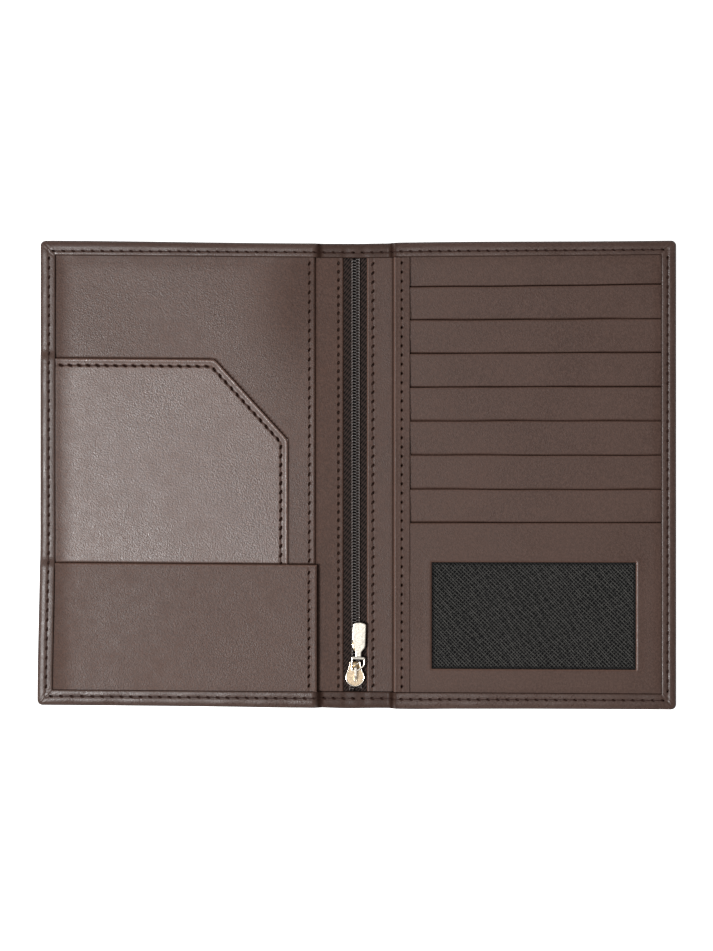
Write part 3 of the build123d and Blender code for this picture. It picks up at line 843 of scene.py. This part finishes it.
xs = merged(
    lines(PANEL_OUT, SLEEVE[3] - 0.75, 1.8, dense=[SLEEVE_SEAM_X]),
    np.arange(CUT_TOP[0], ANGLED_EDGE + 1, 0.9),
    SLEEVE[3] - EDGE_STEPS)
grid_piece("passport_sleeve_leather", xs, lines(-UNDER_RIM, UNDER_RIM, 0.35), sleeve_surface,
           SLEEVE[2] + 0.1, "panel_leather", "left_wing", nodes=["passport_sleeve"])
thread_piece("sleeve_thread", [SLEEVE_SEAM], lambda x, y: sleeve_top(x, y) - 0.12, ["sleeve_edge_stitching"],
             "left_wing")


def cut_corner(first, second, inset):
    """Where the seam turns: the offset of two edges, each given as (point, inward normal)."""
    (p, n), (q, m) = first, second
    return np.linalg.solve(np.array([n, m]), [np.dot(n, p) + inset, np.dot(m, q) + inset])


top_edge = (np.array(CUT_TOP), np.array([0, -1.0]))
cut_edge = (np.array(CUT_TOP), np.array([cut_way[1], -cut_way[0]]))
side_edge = (np.array(CUT_SIDE), np.array([-1.0, 0]))
turn_a = cut_corner(top_edge, cut_edge, ANGLED_INSET)
turn_b = cut_corner(cut_edge, side_edge, ANGLED_INSET)
ANGLED_SEAMS = [Seam(start, end, ANGLED_PITCH, slant=0.4, hole=(0.72, 0.36)) for start, end in (
    ((-HALF_W + BORDER + 0.2, turn_a[1]), turn_a), (turn_a, turn_b), (turn_b, (turn_b[0], LOWER[4] - 1.5)))]


def angled_base(x, y):
    d = angled_distance(x, y)
    rise = 0.16 * smoothstep(7.5, 5.0, HALF_W + x)
    z = ANGLED[5] + rise + undulation(x, y, 2, 0.09)
    return z + 0.07 * bead(d, 0.6, 0.35) - 0.05 * bead(d, 1.9, 0.8)


def angled_surface(x, y):
    depth, dark = dips(ANGLED_SEAMS, x, y, groove=0.12, line=0.5)
    d = angled_distance(x, y)
    # Painted shade in the band between the edge's crest and its seam, and a painted highlight along the free
    # edges.
    beside_seam = 0.3 * smoothstep(0.7, 1.0, d) * smoothstep(1.9, 1.5, d)
    dark = deepest(dark, shade_by_border(x), beside_seam, crease(y - LOWER[4]))
    depth = depth * smoothstep(LOWER[4] - 2, LOWER[4] - 1, y)
    return angled_base(x, y) - depth - edge_round(d), dark + 0.4 * painted_highlight(d, 0.8)


rows_near = np.concatenate([EDGE_STEPS * 1.4, np.arange(1.15, 5.6, 0.2)])
xs = merged(lines(PANEL_OUT, ANGLED_EDGE - 0.75, 0.37, dense=[ANGLED_EDGE - ANGLED_INSET], reach=1.1),
            ANGLED_EDGE - EDGE_STEPS)


def angled_rows(x):
    """Heights of each column's rows: fixed steps below its top edge, then even down to the bottom."""
    slope = cut_way[1] / cut_way[0]
    cut = CUT_TOP[1] + (x - CUT_TOP[0]) * slope
    low, gap = np.minimum(cut, ANGLED_TOP), np.abs(cut - ANGLED_TOP)
    crest = low - 0.3 * np.log1p(np.exp(-gap / 0.3))
    near = crest[:, None] - rows_near[None]
    floor_y = LOWER[4] - 1.6
    share = np.linspace(0, 1, 172)[1:] ** 0.93
    middle = near[:, -1:] + (floor_y - near[:, -1:]) * share[None]
    last = np.array([[LOWER[4] - 12.0, -UNDER_RIM]]).repeat(len(x), 0)
    return np.concatenate([near, middle, last], 1)[:, ::-1]


rows = angled_rows(xs)
grid_piece("angled_pocket_leather", xs, np.arange(rows.shape[1]), angled_surface, ANGLED[2] + 0.08,
           "pocket_leather", "left_wing", warp=lambda x, y: (x, rows), nodes=["angled_slip_pocket"])
thread_piece("angled_pocket_thread", ANGLED_SEAMS, lambda x, y: angled_base(x, y) - 0.12,
             ["angled_pocket_stitching"], "left_wing")


def lower_base(x, y):
    d = np.minimum(LOWER[4] - y, LOWER[3] - x)
    press = 0.12 * smoothstep(7.5, 5.0, np.minimum(HALF_W + x, HALF_H + y))
    return LOWER[5] - press + undulation(x, y, 3, 0.05) * smoothstep(0, 6, d) + 0.1 * bead(d, 0.8, 0.5)


def lower_surface(x, y):
    depth, dark = LOWER_SEAM.dip(x, y, line=0.3)
    dark = np.maximum(dark, shade_by_border(x))
    drop = np.maximum(edge_round(LOWER[4] - y, 0.45), edge_round(LOWER[3] - x, 0.45))
    # A painted highlight along the pocket's top edge.
    return lower_base(x, y) - depth - drop, dark + 0.25 * painted_highlight(LOWER[4] - y, 0.7)


xs = merged(lines(PANEL_OUT, LOWER[3] - 0.75, 3.0, dense=[LOWER_SEAM_X]), LOWER[3] - EDGE_STEPS)
ys = merged(lines(-UNDER_RIM, LOWER[4] - 0.75, 0.27), LOWER[4] - EDGE_STEPS)
grid_piece("lower_pocket_leather", xs, ys, lower_surface, LOWER[2] + 0.08, "lower_leather", "left_wing",
           slot="panel_leather", nodes=["lower_slip_pocket"])
thread_piece("lower_pocket_thread", [LOWER_SEAM], lambda x, y: lower_base(x, y) - 0.12,
             ["lower_pocket_stitching"], "left_wing")


# ---- right side: card panel
STRIP_X0 = BINDING[3] - 1.5
STRIP_X1 = HALF_W - 1.5
STRIP_SLOPE = (SLOTS[0][5] - SLOTS[0][2] - 0.55) / (SLOTS[0][4] - SLOTS[0][1])
STRIP_TOP = SLOTS[0][5]
STRIP_T = 0.5
MOUTH_SAG = (0.9, 0.7, 0.5, 0.4, 0.3, 0.3, 0.3)
SLOT_PITCH = SLOTS[0][4] - SLOTS[1][4]


def under_rim_press(x, y):
    """How far the card panel's layers are pressed where they run under the rim."""
    return 0.22 * smoothstep(7.0, 5.0, np.minimum(HALF_W - x, HALF_H - np.abs(y)))


def mouth_wave(x, seed):
    """A slot's mouth is not quite straight."""
    if seed > len(SLOTS):
        return np.zeros_like(x)
    lean = (0.003, -0.002, -0.003, -0.003, -0.001, -0.002, -0.003)[seed - 1]
    return 0.07 * np.sin(x * 0.06 + seed) + 0.04 * np.sin(x * 0.19 + 2 * seed) + lean * (x - 60)


def tuck_shade(above):
    """Shade on a strip where it goes behind the next mouth, by the distance above that mouth."""
    return 0.9 * smoothstep(0.72, 0.3, above)


def strip_surface(mouth, below, seed):
    """A slot strip: its turned mouth, and the slope down to its tuck under the next one's mouth."""
    def top(x, y):
        edge = mouth + mouth_wave(x, seed)
        out = edge - y
        across = np.sin(np.clip((x - 18) / (104 - 18), 0, 1) * math.pi)
        z = STRIP_TOP - STRIP_SLOPE * out - under_rim_press(x, y) + undulation(x, y, 4 + seed, 0.02)
        z = z + 0.05 * bead(out, 0.9, 0.5) - 0.10 * across * bead(out, 0, 2.5)
        # Painted shade where the strip tucks under the next mouth, and a faint painted highlight along its own
        # mouth.
        shade = tuck_shade(y - below - mouth_wave(x, seed + 1))
        return z - edge_round(np.maximum(out, 0), 0.38), shade + 0.12 * painted_highlight(out)
    return top


strip_xs = lines(STRIP_X0, STRIP_X1, 1.4)
mouths = [slot_box[4] - sag for slot_box, sag in zip(SLOTS, MOUTH_SAG)] + [WINDOW_PANEL[4]]
for seed, (slot_box, mouth, below) in enumerate(zip(SLOTS, mouths, mouths[1:]), 1):
    ys = merged(mouth - EDGE_STEPS, lines(slot_box[1], mouth - 0.75, 0.5))
    grid_piece(f"card_strip_{seed}", strip_xs, ys, strip_surface(mouth, below, seed),
               lambda x, y: STRIP_TOP - STRIP_T - STRIP_SLOPE * (mouth - y) - 0.22,
               "card_leather", "right_wing", warp=lambda x, y: (x, y + mouth_wave(x, seed)),
               nodes=[f"card_slot_{seed}"])

FIRST_MOUTH = SLOTS[0][4] - MOUTH_SAG[0]


def back_surface(x, y):
    out = FIRST_MOUTH + SLOT_PITCH - y
    z = STRIP_TOP - STRIP_SLOPE * out - under_rim_press(x, y) + undulation(x, y, 4, 0.02)
    z = np.maximum(z, span("card_panel_back")[5] + 0.02)
    return z, tuck_shade(y - FIRST_MOUTH - mouth_wave(x, 1))


grid_piece("card_panel_back_leather", strip_xs,
           lines(-UNDER_RIM, UNDER_RIM, 1.5, dense=[FIRST_MOUTH + 0.4], reach=0.9), back_surface,
           span("card_panel_back")[2] + 0.05, "card_leather", "right_wing", nodes=["card_panel_back"])

WINDOW_W, WINDOW_H = MESH[3] - MESH[0] - 8.0, MESH[4] - MESH[1] - 8.0
WINDOW_X, WINDOW_Y = (MESH[0] + MESH[3]) / 2, (MESH[1] + MESH[4]) / 2


def window_distance(x, y):
    """Distance outwards from the window's edge."""
    dx = np.maximum(np.abs(x - WINDOW_X) - WINDOW_W / 2, 0)
    dy = np.maximum(np.abs(y - WINDOW_Y) - WINDOW_H / 2, 0)
    return np.hypot(dx, dy)


def window_panel_surface(x, y):
    out = WINDOW_PANEL[4] - y
    d = window_distance(x, y)
    z = WINDOW_PANEL[5] - under_rim_press(x, y) + undulation(x, y, 12, 0.04) * smoothstep(0, 5, d)
    z = z + 0.09 * bead(d, 0.9, 0.5) + 0.05 * bead(out, 0.9, 0.5)
    # Painted light: shade down the window's wall, and highlights along its edges, most on the side right of the
    # window whose edge faces the light, and along the mouth.
    share = np.where(x > WINDOW_X + WINDOW_W / 2, 0.6, np.where(y < WINDOW_Y - WINDOW_H / 2, 0.4, 0.15))
    shade = 0.8 * smoothstep(0.1, 0.0, d) + share * painted_highlight(d, 0.6) + 0.2 * painted_highlight(out)
    return z - np.maximum(edge_round(out, 0.42), edge_round(d, 0.42) + lip(d)), shade


def beside(centre, half):
    """Grid lines just outside an opening's two sides."""
    return centre - half - EDGE_STEPS, centre + half + EDGE_STEPS


xs = merged(lines(STRIP_X0, STRIP_X1, 1.4), *beside(WINDOW_X, WINDOW_W / 2))
ys = merged(lines(-UNDER_RIM, WINDOW_PANEL[4] - 0.75, 1.1), WINDOW_PANEL[4] - EDGE_STEPS,
            *beside(WINDOW_Y, WINDOW_H / 2))


def outside_window(x, y):
    return (np.abs(x - WINDOW_X) > WINDOW_W / 2) | (np.abs(y - WINDOW_Y) > WINDOW_H / 2)


grid_piece("id_window_leather", np.unique(xs.round(4)), np.unique(ys.round(4)), window_panel_surface,
           WINDOW_PANEL[2] + 0.04,
           "card_leather", "right_wing", keep=outside_window, nodes=["id_window_panel"])

BINDING_SEAM_X = BINDING[0] + 2.85
BINDING_SEAM = Seam((BINDING_SEAM_X, SEAM_END), (BINDING_SEAM_X, -SEAM_END), BINDING_PITCH, slant=-0.3,
                    hole=(0.56, 0.34), lean=-8)


def binding_base(x, y):
    inner = x - BINDING[0]
    ripple = 0.03 * np.sin(y * 0.5) * smoothstep(2, 5, inner)
    z = BINDING[5] - 0.05 - 0.16 * smoothstep(1.0, 5.2, inner) + ripple
    return z + 0.1 * bead(inner, 0.7, 0.4)


def binding_surface(x, y):
    inner, outer = x - BINDING[0], BINDING[3] - x
    depth, dark = BINDING_SEAM.dip(x, y, depth=0.5)
    drop = edge_round(inner, 0.5) + lip(inner) + edge_round(np.maximum(outer, 0), 0.3)
    # A painted highlight along the binding's rounded inner edge.
    return binding_base(x, y) - depth - drop, dark + 0.55 * painted_highlight(inner)


def binding_warp(x, y):
    """Its free edge waves a little between the slots."""
    share = smoothstep(BINDING[0] + 3.4, BINDING[3], x)
    return x + share * (0.11 * np.sin(y * 0.37) + 0.07 * np.sin(y * 1.13 + 1) + 0.05 * np.sin(y * 2.1)), y


xs = merged(
    BINDING[0] + EDGE_STEPS, BINDING[3] - EDGE_STEPS[:6],
    lines(BINDING[0] + 0.8, BINDING[3] - 0.4, 0.5, dense=[BINDING_SEAM_X], reach=1.1))
grid_piece("card_panel_binding_leather", xs, lines(BINDING[1], BINDING[4], 0.27), binding_surface,
           lambda x, y: np.where(x < BINDING[0] + 0.55, BINDING[2], BINDING[5] - 0.5),
           "card_leather", "right_wing", warp=binding_warp, nodes=["card_panel_binding"])
thread_piece("binding_thread", [BINDING_SEAM], lambda x, y: binding_base(x, y) - 0.3, ["binding_stitching"],
             "right_wing")


# ---- ID window mesh
MESH_PITCH = 0.92
YARN_STEP = MESH_PITCH / 2
YARN_SIDES = 4


def mesh_threads(z):
    """Yarns at 45 degrees both ways, over and under each other."""
    half_w, half_h = (MESH[3] - MESH[0]) / 2, (MESH[4] - MESH[1]) / 2
    root = math.sqrt(0.5)
    reach = int((half_w + half_h) * root / MESH_PITCH)
    sets, shades = [], []
    for lean, radius in ((1, 0.11), (-1, 0.17)):
        paths = []
        way, normal = np.array([root, lean * root]), np.array([-lean * root, root])
        for k in range(-reach, reach + 1):
            foot = normal * k * MESH_PITCH
            limits = [sorted(((-half - centre) / step, (half - centre) / step))
                      for centre, half, step in ((foot[0], half_w, way[0]), (foot[1], half_h, way[1]))]
            low, high = max(e[0] for e in limits), min(e[1] for e in limits)
            m = np.arange(math.ceil(low / YARN_STEP), math.floor(high / YARN_STEP) + 1)
            if len(m) < 4:
                continue
            t = m * YARN_STEP
            over = lean * np.cos(np.pi * m / 2 + math.pi * k) * (m % 2 == 0)
            wander = 0.1 * np.sin(t * 0.5 + 1.7 * k) + 0.2 * np.sin(t * 0.11 + 0.23 * k)
            wander = wander + rng.uniform(-0.1, 0.1)
            xy = foot + t[:, None] * way + wander[:, None] * normal + [WINDOW_X, WINDOW_Y]
            paths.append(np.column_stack([xy, z + 0.09 * over]))
            # Random tone along each yarn, and painted shade where the yarns run under the window's edge.
            shade = 0.38 + 0.25 * np.sin(t * 0.9 + 2.1 * k) + rng.uniform(-0.45, 0.5, len(t))
            inside = np.minimum(WINDOW_W / 2 - np.abs(xy[:, 0] - WINDOW_X),
                                WINDOW_H / 2 - np.abs(xy[:, 1] - WINDOW_Y))
            shades.append(np.clip(np.maximum(shade, 1.2 * smoothstep(1.3, 0.4, inside)), 0, 1))
        sets.append(tube(paths, radius, YARN_SIDES))
    return *join(sets), np.repeat(np.concatenate(shades), YARN_SIDES)


points, faces, shade = mesh_threads(MESH[5] - 0.1)
mesh_yarns = piece("id_window_mesh_yarns", points, faces, "mesh_fabric", "right_wing", shade)
backing = grid_piece("id_window_mesh_sheet", lines(MESH[0], MESH[3], 2.0), lines(MESH[1], MESH[4], 2.0),
                     lambda x, y: (MESH[2] - 0.18 + undulation(x, y, 5, 0.03), np.zeros_like(x)),
                     MESH[2] - 0.4, "mesh_backing", "right_wing", slot="mesh_fabric",
                     nodes=["id_window_mesh"])


# ---- zipper
for word, box in (("left", TAPE_LEFT), ("right", TAPE_RIGHT)):
    grid_piece(f"zipper_tape_{word}_cloth", lines(box[0], box[3], 0.5),
               lines(box[1] + 0.5, box[4] - 0.5, 1.0),
               lambda x, y: (box[5] + 0.03 * np.sin(y * 0.6) * np.sin(x), np.zeros_like(x)), box[2],
               "zipper_tape", "spine", nodes=[f"zipper_tape_{word}"])

COIL_R = 0.2
COIL_SIDES = 8
COIL_POINTS = 20


def coil(word, centre, reach, side, head_shade):
    """One nylon coil: its legs lie one over the other, and it steps along at its back."""
    y0, y1 = COIL_LEFT[1], COIL_LEFT[4]
    turns = int((y1 - y0) / COIL_PITCH)
    t = np.arange(turns * COIL_POINTS + 1) / COIL_POINTS
    angle = 2 * np.pi * t
    whole = np.round(t)
    along = whole - 0.5 + smoothstep(-0.14, 0.14, t - whole)
    y = y0 + 0.3 + (along + (0.5 if side > 0 else 0)) * COIL_PITCH + 0.1 * np.cos(angle) * np.sin(angle)
    part = 0.9 * smoothstep(-70.5, -75.0, y)
    x = centre + side * (part + reach * np.cos(angle))
    z = (COIL_LEFT[2] + COIL_LEFT[5]) / 2 + 0.28 * np.tanh(1.8 * np.sin(angle)) + 0.1 * np.cos(2 * angle)
    # Painted shade where each leg turns down and under, and over the heads of the right coil, which lie lower.
    shade = deepest(np.where(np.cos(angle) < 0, head_shade, 0.0) * np.abs(np.cos(angle)),
                    0.9 * (1 - np.abs(np.cos(angle))) ** 0.7, smoothstep(0.0, -0.5, np.sin(angle)))
    piece(f"zipper_coil_{word}_filament", *tube([np.column_stack([x, y, z])], COIL_R, COIL_SIDES),
          "zipper_coil", "spine", np.repeat(shade, COIL_SIDES), nodes=[f"zipper_coil_{word}"])


coil("left", ZIP_X - 0.32, 0.72, -1, 0.0)
coil("right", ZIP_X + 1.05, 0.5, 1, 0.8)


# ---- slider and pull
def inward(loop):
    """Unit normals pointing into a counter-clockwise loop."""
    way = np.roll(loop, -1, 0) - np.roll(loop, 1, 0)
    way /= np.linalg.norm(way, axis=1)[:, None] + 1e-12
    return np.column_stack([-way[:, 1], way[:, 0]])


def smooth_loop(corners, radius=0.35, steps=4):
    """A closed outline through corners, each rounded by an arc-like quadratic curve."""
    corners = np.array(corners, float)
    points = []
    for prev, here, nxt in zip(np.roll(corners, 1, 0), corners, np.roll(corners, -1, 0)):
        into, out = prev - here, nxt - here
        r = min(radius, 0.45 * np.linalg.norm(into), 0.45 * np.linalg.norm(out))
        p, q = here + into / np.linalg.norm(into) * r, here + out / np.linalg.norm(out) * r
        for f in np.linspace(0, 1, steps + 1):
            points.append((1 - f) ** 2 * p + 2 * f * (1 - f) * here + f ** 2 * q)
    return np.array(points)


def band(rings, swap=False):
    """Points of a ring of rings, and the quads between them; swap turns each quad over."""
    n, m = len(rings[0]), len(rings)
    faces = []
    for r in range(m):
        q = (r + 1) % m
        for k in range(n):
            j = (k + 1) % n
            quad = [r * n + k, q * n + k, q * n + j, r * n + j]
            faces.append([quad[0], quad[3], quad[2], quad[1]] if swap else quad)
    return np.array(rings).reshape(-1, 3), faces


def plate(loop, z0, z1, profile):
    """A closed plate from a counter-clockwise outline. profile lists (inset, drop below z1) over its top."""
    normal = inward(loop)
    rings = [(0.18, z0), (0.05, z0 + 0.05), (0.0, z0 + 0.16)]
    rings += [(inset, z1 - drop) for inset, drop in profile]
    points = [np.column_stack([loop + normal * inset, np.full(len(loop), z)]) for inset, z in rings]
    n = len(loop)
    faces = [list(range(n))[::-1]]
    for r in range(len(rings) - 1):
        for k in range(n):
            j = (k + 1) % n
            faces.append([r * n + k, r * n + j, (r + 1) * n + j, (r + 1) * n + k])
    faces.append([(len(rings) - 1) * n + k for k in range(n)])
    return np.concatenate(points), faces


SLIDER = span("slider_body")
BRIDGE = span("slider_bridge")
TAIL_Y, NOSE_Y = SLIDER[1], SLIDER[4]
BODY_R = (SLIDER[3] - SLIDER[0]) / 2
BRIDGE_X, BRIDGE_HALF = (BRIDGE[0] + BRIDGE[3]) / 2, (BRIDGE[3] - BRIDGE[0]) / 2
RIM_W = 0.36
RECESS = 0.24
DISC_SIDES = 24


def slider_loop():
    """The slider's plan: a round tail, waisted flanks, and two shoulders with a dip between them."""
    centre_y = TAIL_Y + BODY_R
    right = [(BODY_R * math.cos(a), centre_y + BODY_R * math.sin(a))
             for a in np.radians(np.arange(-90, 37, 6))]
    right += [(x, NOSE_Y - back) for x, back in (
        (2.28, 2.5), (2.02, 1.5), (2.0, 0.5), (1.72, 0.02), (1.25, 0.25), (0.7, 0.95))]
    left = [(-x, y) for x, y in right[::-1]][:-1]
    return smooth_loop(np.array(right + left) + [ZIP_X, 0], 0.3, 3)


def disc(centre, radius, half_y=None, sides=DISC_SIDES):
    """A round or oval outline."""
    a = np.linspace(0, 2 * math.pi, sides, endpoint=False)
    return np.column_stack([radius * np.cos(a), (half_y or radius) * np.sin(a)]) + centre


def shade_inside(points, part):
    """Painted shade for the recess of a rimmed plate, a deeper colour on its last two rings, each of part points.
    """
    shade = np.zeros(len(points))
    shade[-2 * part:] = 0.8
    return shade


loop = slider_loop()
base_top = SLIDER[2] + 0.45
crown_z = SLIDER[5] - 0.6
top_plate = plate(loop, crown_z, SLIDER[5], [(0.0, 0.2), (0.04, 0.08), (0.12, 0.0), (RIM_W - 0.08, 0.0),
                                             (RIM_W, 0.08), (RIM_W + 0.05, RECESS), (RIM_W + 0.12, RECESS)])
flanks = []
for side in (1, -1):
    outer = np.array([p for p in loop if (p[0] - ZIP_X) * side > 1.9 and p[1] < NOSE_Y - 0.6])
    outer = outer[np.argsort(outer[:, 1])]
    wall_x = ZIP_X + side * 1.7
    wall = np.concatenate([outer, [(wall_x, outer[-1, 1]), (wall_x, outer[0, 1])]])
    flanks.append(plate(wall if side > 0 else wall[::-1], TAPE_LEFT[5] + 0.15, crown_z + 0.1, [(0.0, 0.1)]))
base = plate(loop, SLIDER[2], base_top, [(0.0, 0.2), (0.06, 0.08), (0.18, 0.0)])
post = plate(disc((ZIP_X, TAIL_Y + 2.7), 0.3, 1.5, 16), base_top - 0.1, crown_z + 0.1, [(0.0, 0.0)])
nose_loop = np.array([(x, NOSE_Y - back) for x, back in (
    (-1.5, 2.9), (1.5, 2.9), (1.45, 0.6), (0.6, 0.3), (-0.6, 0.3), (-1.45, 0.6))])
nose = plate(smooth_loop(nose_loop + [ZIP_X, 0], 0.3, 3),
             SLIDER[5] - RECESS - 0.1, SLIDER[5] - RECESS + 0.1, [(0.0, 0.05), (0.06, 0.0)])
# Painted shade: deeper colour in the recess, on the base, post and flanks under the top plate, and most on the
# nose under the bridge.
tints = [shade_inside(top_plate[0], len(loop))]
tints += [np.full(len(part[0]), 0.7) for part in (base, post, *flanks)] + [np.full(len(nose[0]), 1.0)]
piece("slider_body_cast", *join([top_plate, base, post, *flanks, nose]), "gold_metal", "slider",
      np.concatenate(tints), nodes=["slider_body"])


def bridge_bar():
    """The arch that holds the pull: a flat bar that rises at the nose and comes down before the tail."""
    y0, y1, z0, z1 = BRIDGE[1], BRIDGE[4], SLIDER[5] - RECESS - 0.1, BRIDGE[5]
    outer = smooth_loop([(y1, z0), (y1 - 0.15, z1), (y0 + 2.5, z1 - 0.06), (y0 + 1.55, z1 - 0.75),
                         (y0 + 1.35, z0)], 0.7, 6)
    inner = smooth_loop([(y1 - 0.75, z0), (y1 - 0.85, z1 - 0.55), (y0 + 2.8, z1 - 0.6), (y0 + 2.3, z1 - 1.1),
                         (y0 + 2.15, z0)], 0.5, 6)
    half, top = BRIDGE_HALF, BRIDGE_HALF - 0.12
    rings = []
    for a, b in zip(outer, inner):
        c = a + (b - a) * 0.35
        section = [(-half, b), (half, b), (half, c), (top, a), (0, a), (-top, a), (-half, c)]
        rings.append([(BRIDGE_X + dx, p[0], p[1]) for dx, p in section])
    return band(rings)


boss = plate(disc((BRIDGE_X, BRIDGE[1] + 1.2), 0.66), SLIDER[5] - RECESS - 0.05, SLIDER[5] + 0.3,
             [(0.0, 0.26), (0.06, 0.08), (0.2, 0.0), (0.34, 0.03), (0.42, 0.14)])
bar = bridge_bar()
# Painted shade in the boss's recess.
piece("slider_bridge_cast", *join([bar, boss]), "gold_metal", "slider",
      np.concatenate([np.zeros(len(bar[0])), shade_inside(boss[0], DISC_SIDES)]), nodes=["slider_bridge"])

PULL = span("pull_tab")
PULL_AXIS = JOINTS["pull_swing"]["axis"]
LEAN = math.atan2(-PULL_AXIS[1], PULL_AXIS[0])
SHIFT = 0.95
GRIP_HALF_W, RING_BAR = 2.3, 2.3
GRIP_END = 16.15
GRIP_CROWN = 0.6
RING_HALF_W, RING_WINDOW_HALF_W = 2.45, 1.8
RING_TOP, RING_WINDOW_TOP = 5.0, 3.75


def leaned(points):
    """From the pull's own plan, with y along it, to the frame."""
    p = np.array(points, float)
    x = PULL_PIVOT[0] + p[:, 0] * math.cos(LEAN) + p[:, 1] * math.sin(LEAN)
    y = PULL_PIVOT[1] - p[:, 0] * math.sin(LEAN) + p[:, 1] * math.cos(LEAN)
    return np.column_stack([x, y, p[:, 2]])


def pull_shape():
    """The grip with its domed end and neck, and the ring that hangs on the bridge."""
    z0, z1 = PULL[2], PULL[5]
    crown = [(GRIP_HALF_W * math.sin(a), GRIP_END + GRIP_CROWN * (math.cos(a) - 0.35) / 0.65)
             for a in np.linspace(1.2, -1.2, 13)]
    grip = [(1.0, 4.6), (1.0, 6.5), (GRIP_HALF_W - 0.35, 7.75), (GRIP_HALF_W, 8.5),
            (GRIP_HALF_W, GRIP_END - 0.3)]
    outline = np.array(grip + crown + [(-x, y) for x, y in grip[::-1]]) + [SHIFT, 0]
    outline = smooth_loop(outline, 0.3, 2)
    face = [(0.0, 0.24), (0.04, 0.12), (0.12, 0.03), (0.22, 0.0), (0.4, 0.0)]
    grip_part = plate(outline, z0, z1, face)
    mid = (RING_HALF_W + RING_WINDOW_HALF_W) / 2
    top = (RING_TOP + RING_WINDOW_TOP) / 2
    bar_right = SHIFT - RING_HALF_W + RING_BAR
    path = smooth_loop([(SHIFT - mid, 0.02), (bar_right, 0.02), (SHIFT + mid, 1.9), (SHIFT + mid, top),
                        (SHIFT - mid, top)], 0.6, 5)
    normal = inward(path)
    rings = []
    for (px, py), (nx, ny) in zip(path, normal):
        wide = 0.52 if py > top - 0.3 else 0.31
        section = [(wide * across, up) for across, up in (
            (-1, 0.0), (-0.8, 0.26), (-0.3, 0.35), (0.3, 0.35), (0.8, 0.26),
            (1, 0.0), (0.8, -0.26), (0.3, -0.35), (-0.3, -0.35), (-0.8, -0.26))]
        rings.append([(px + nx * a, py + ny * a, PULL_PIVOT[2] + b) for a, b in section])
    # A small flat facet in the deep colour: a painted dark reflection.
    facet = plate(np.array([(-1.24, 10.9), (-1.2, 9.2), (-0.4, 7.0), (0.0, 6.3), (-0.72, 8.9)]), z1 - 0.1,
                  z1 + 0.012, [(0.0, 0.01), (0.02, 0.0)])
    parts = [grip_part, band(rings, swap=True), facet]
    shade = np.concatenate([np.full(len(part[0]), 1.0 if part is facet else 0.0) for part in parts])
    return *join(parts), shade


pull_points, pull_faces, pull_shade = pull_shape()
piece("pull_cast", leaned(pull_points), pull_faces, "gold_metal", "pull", pull_shade, nodes=["pull_tab"])
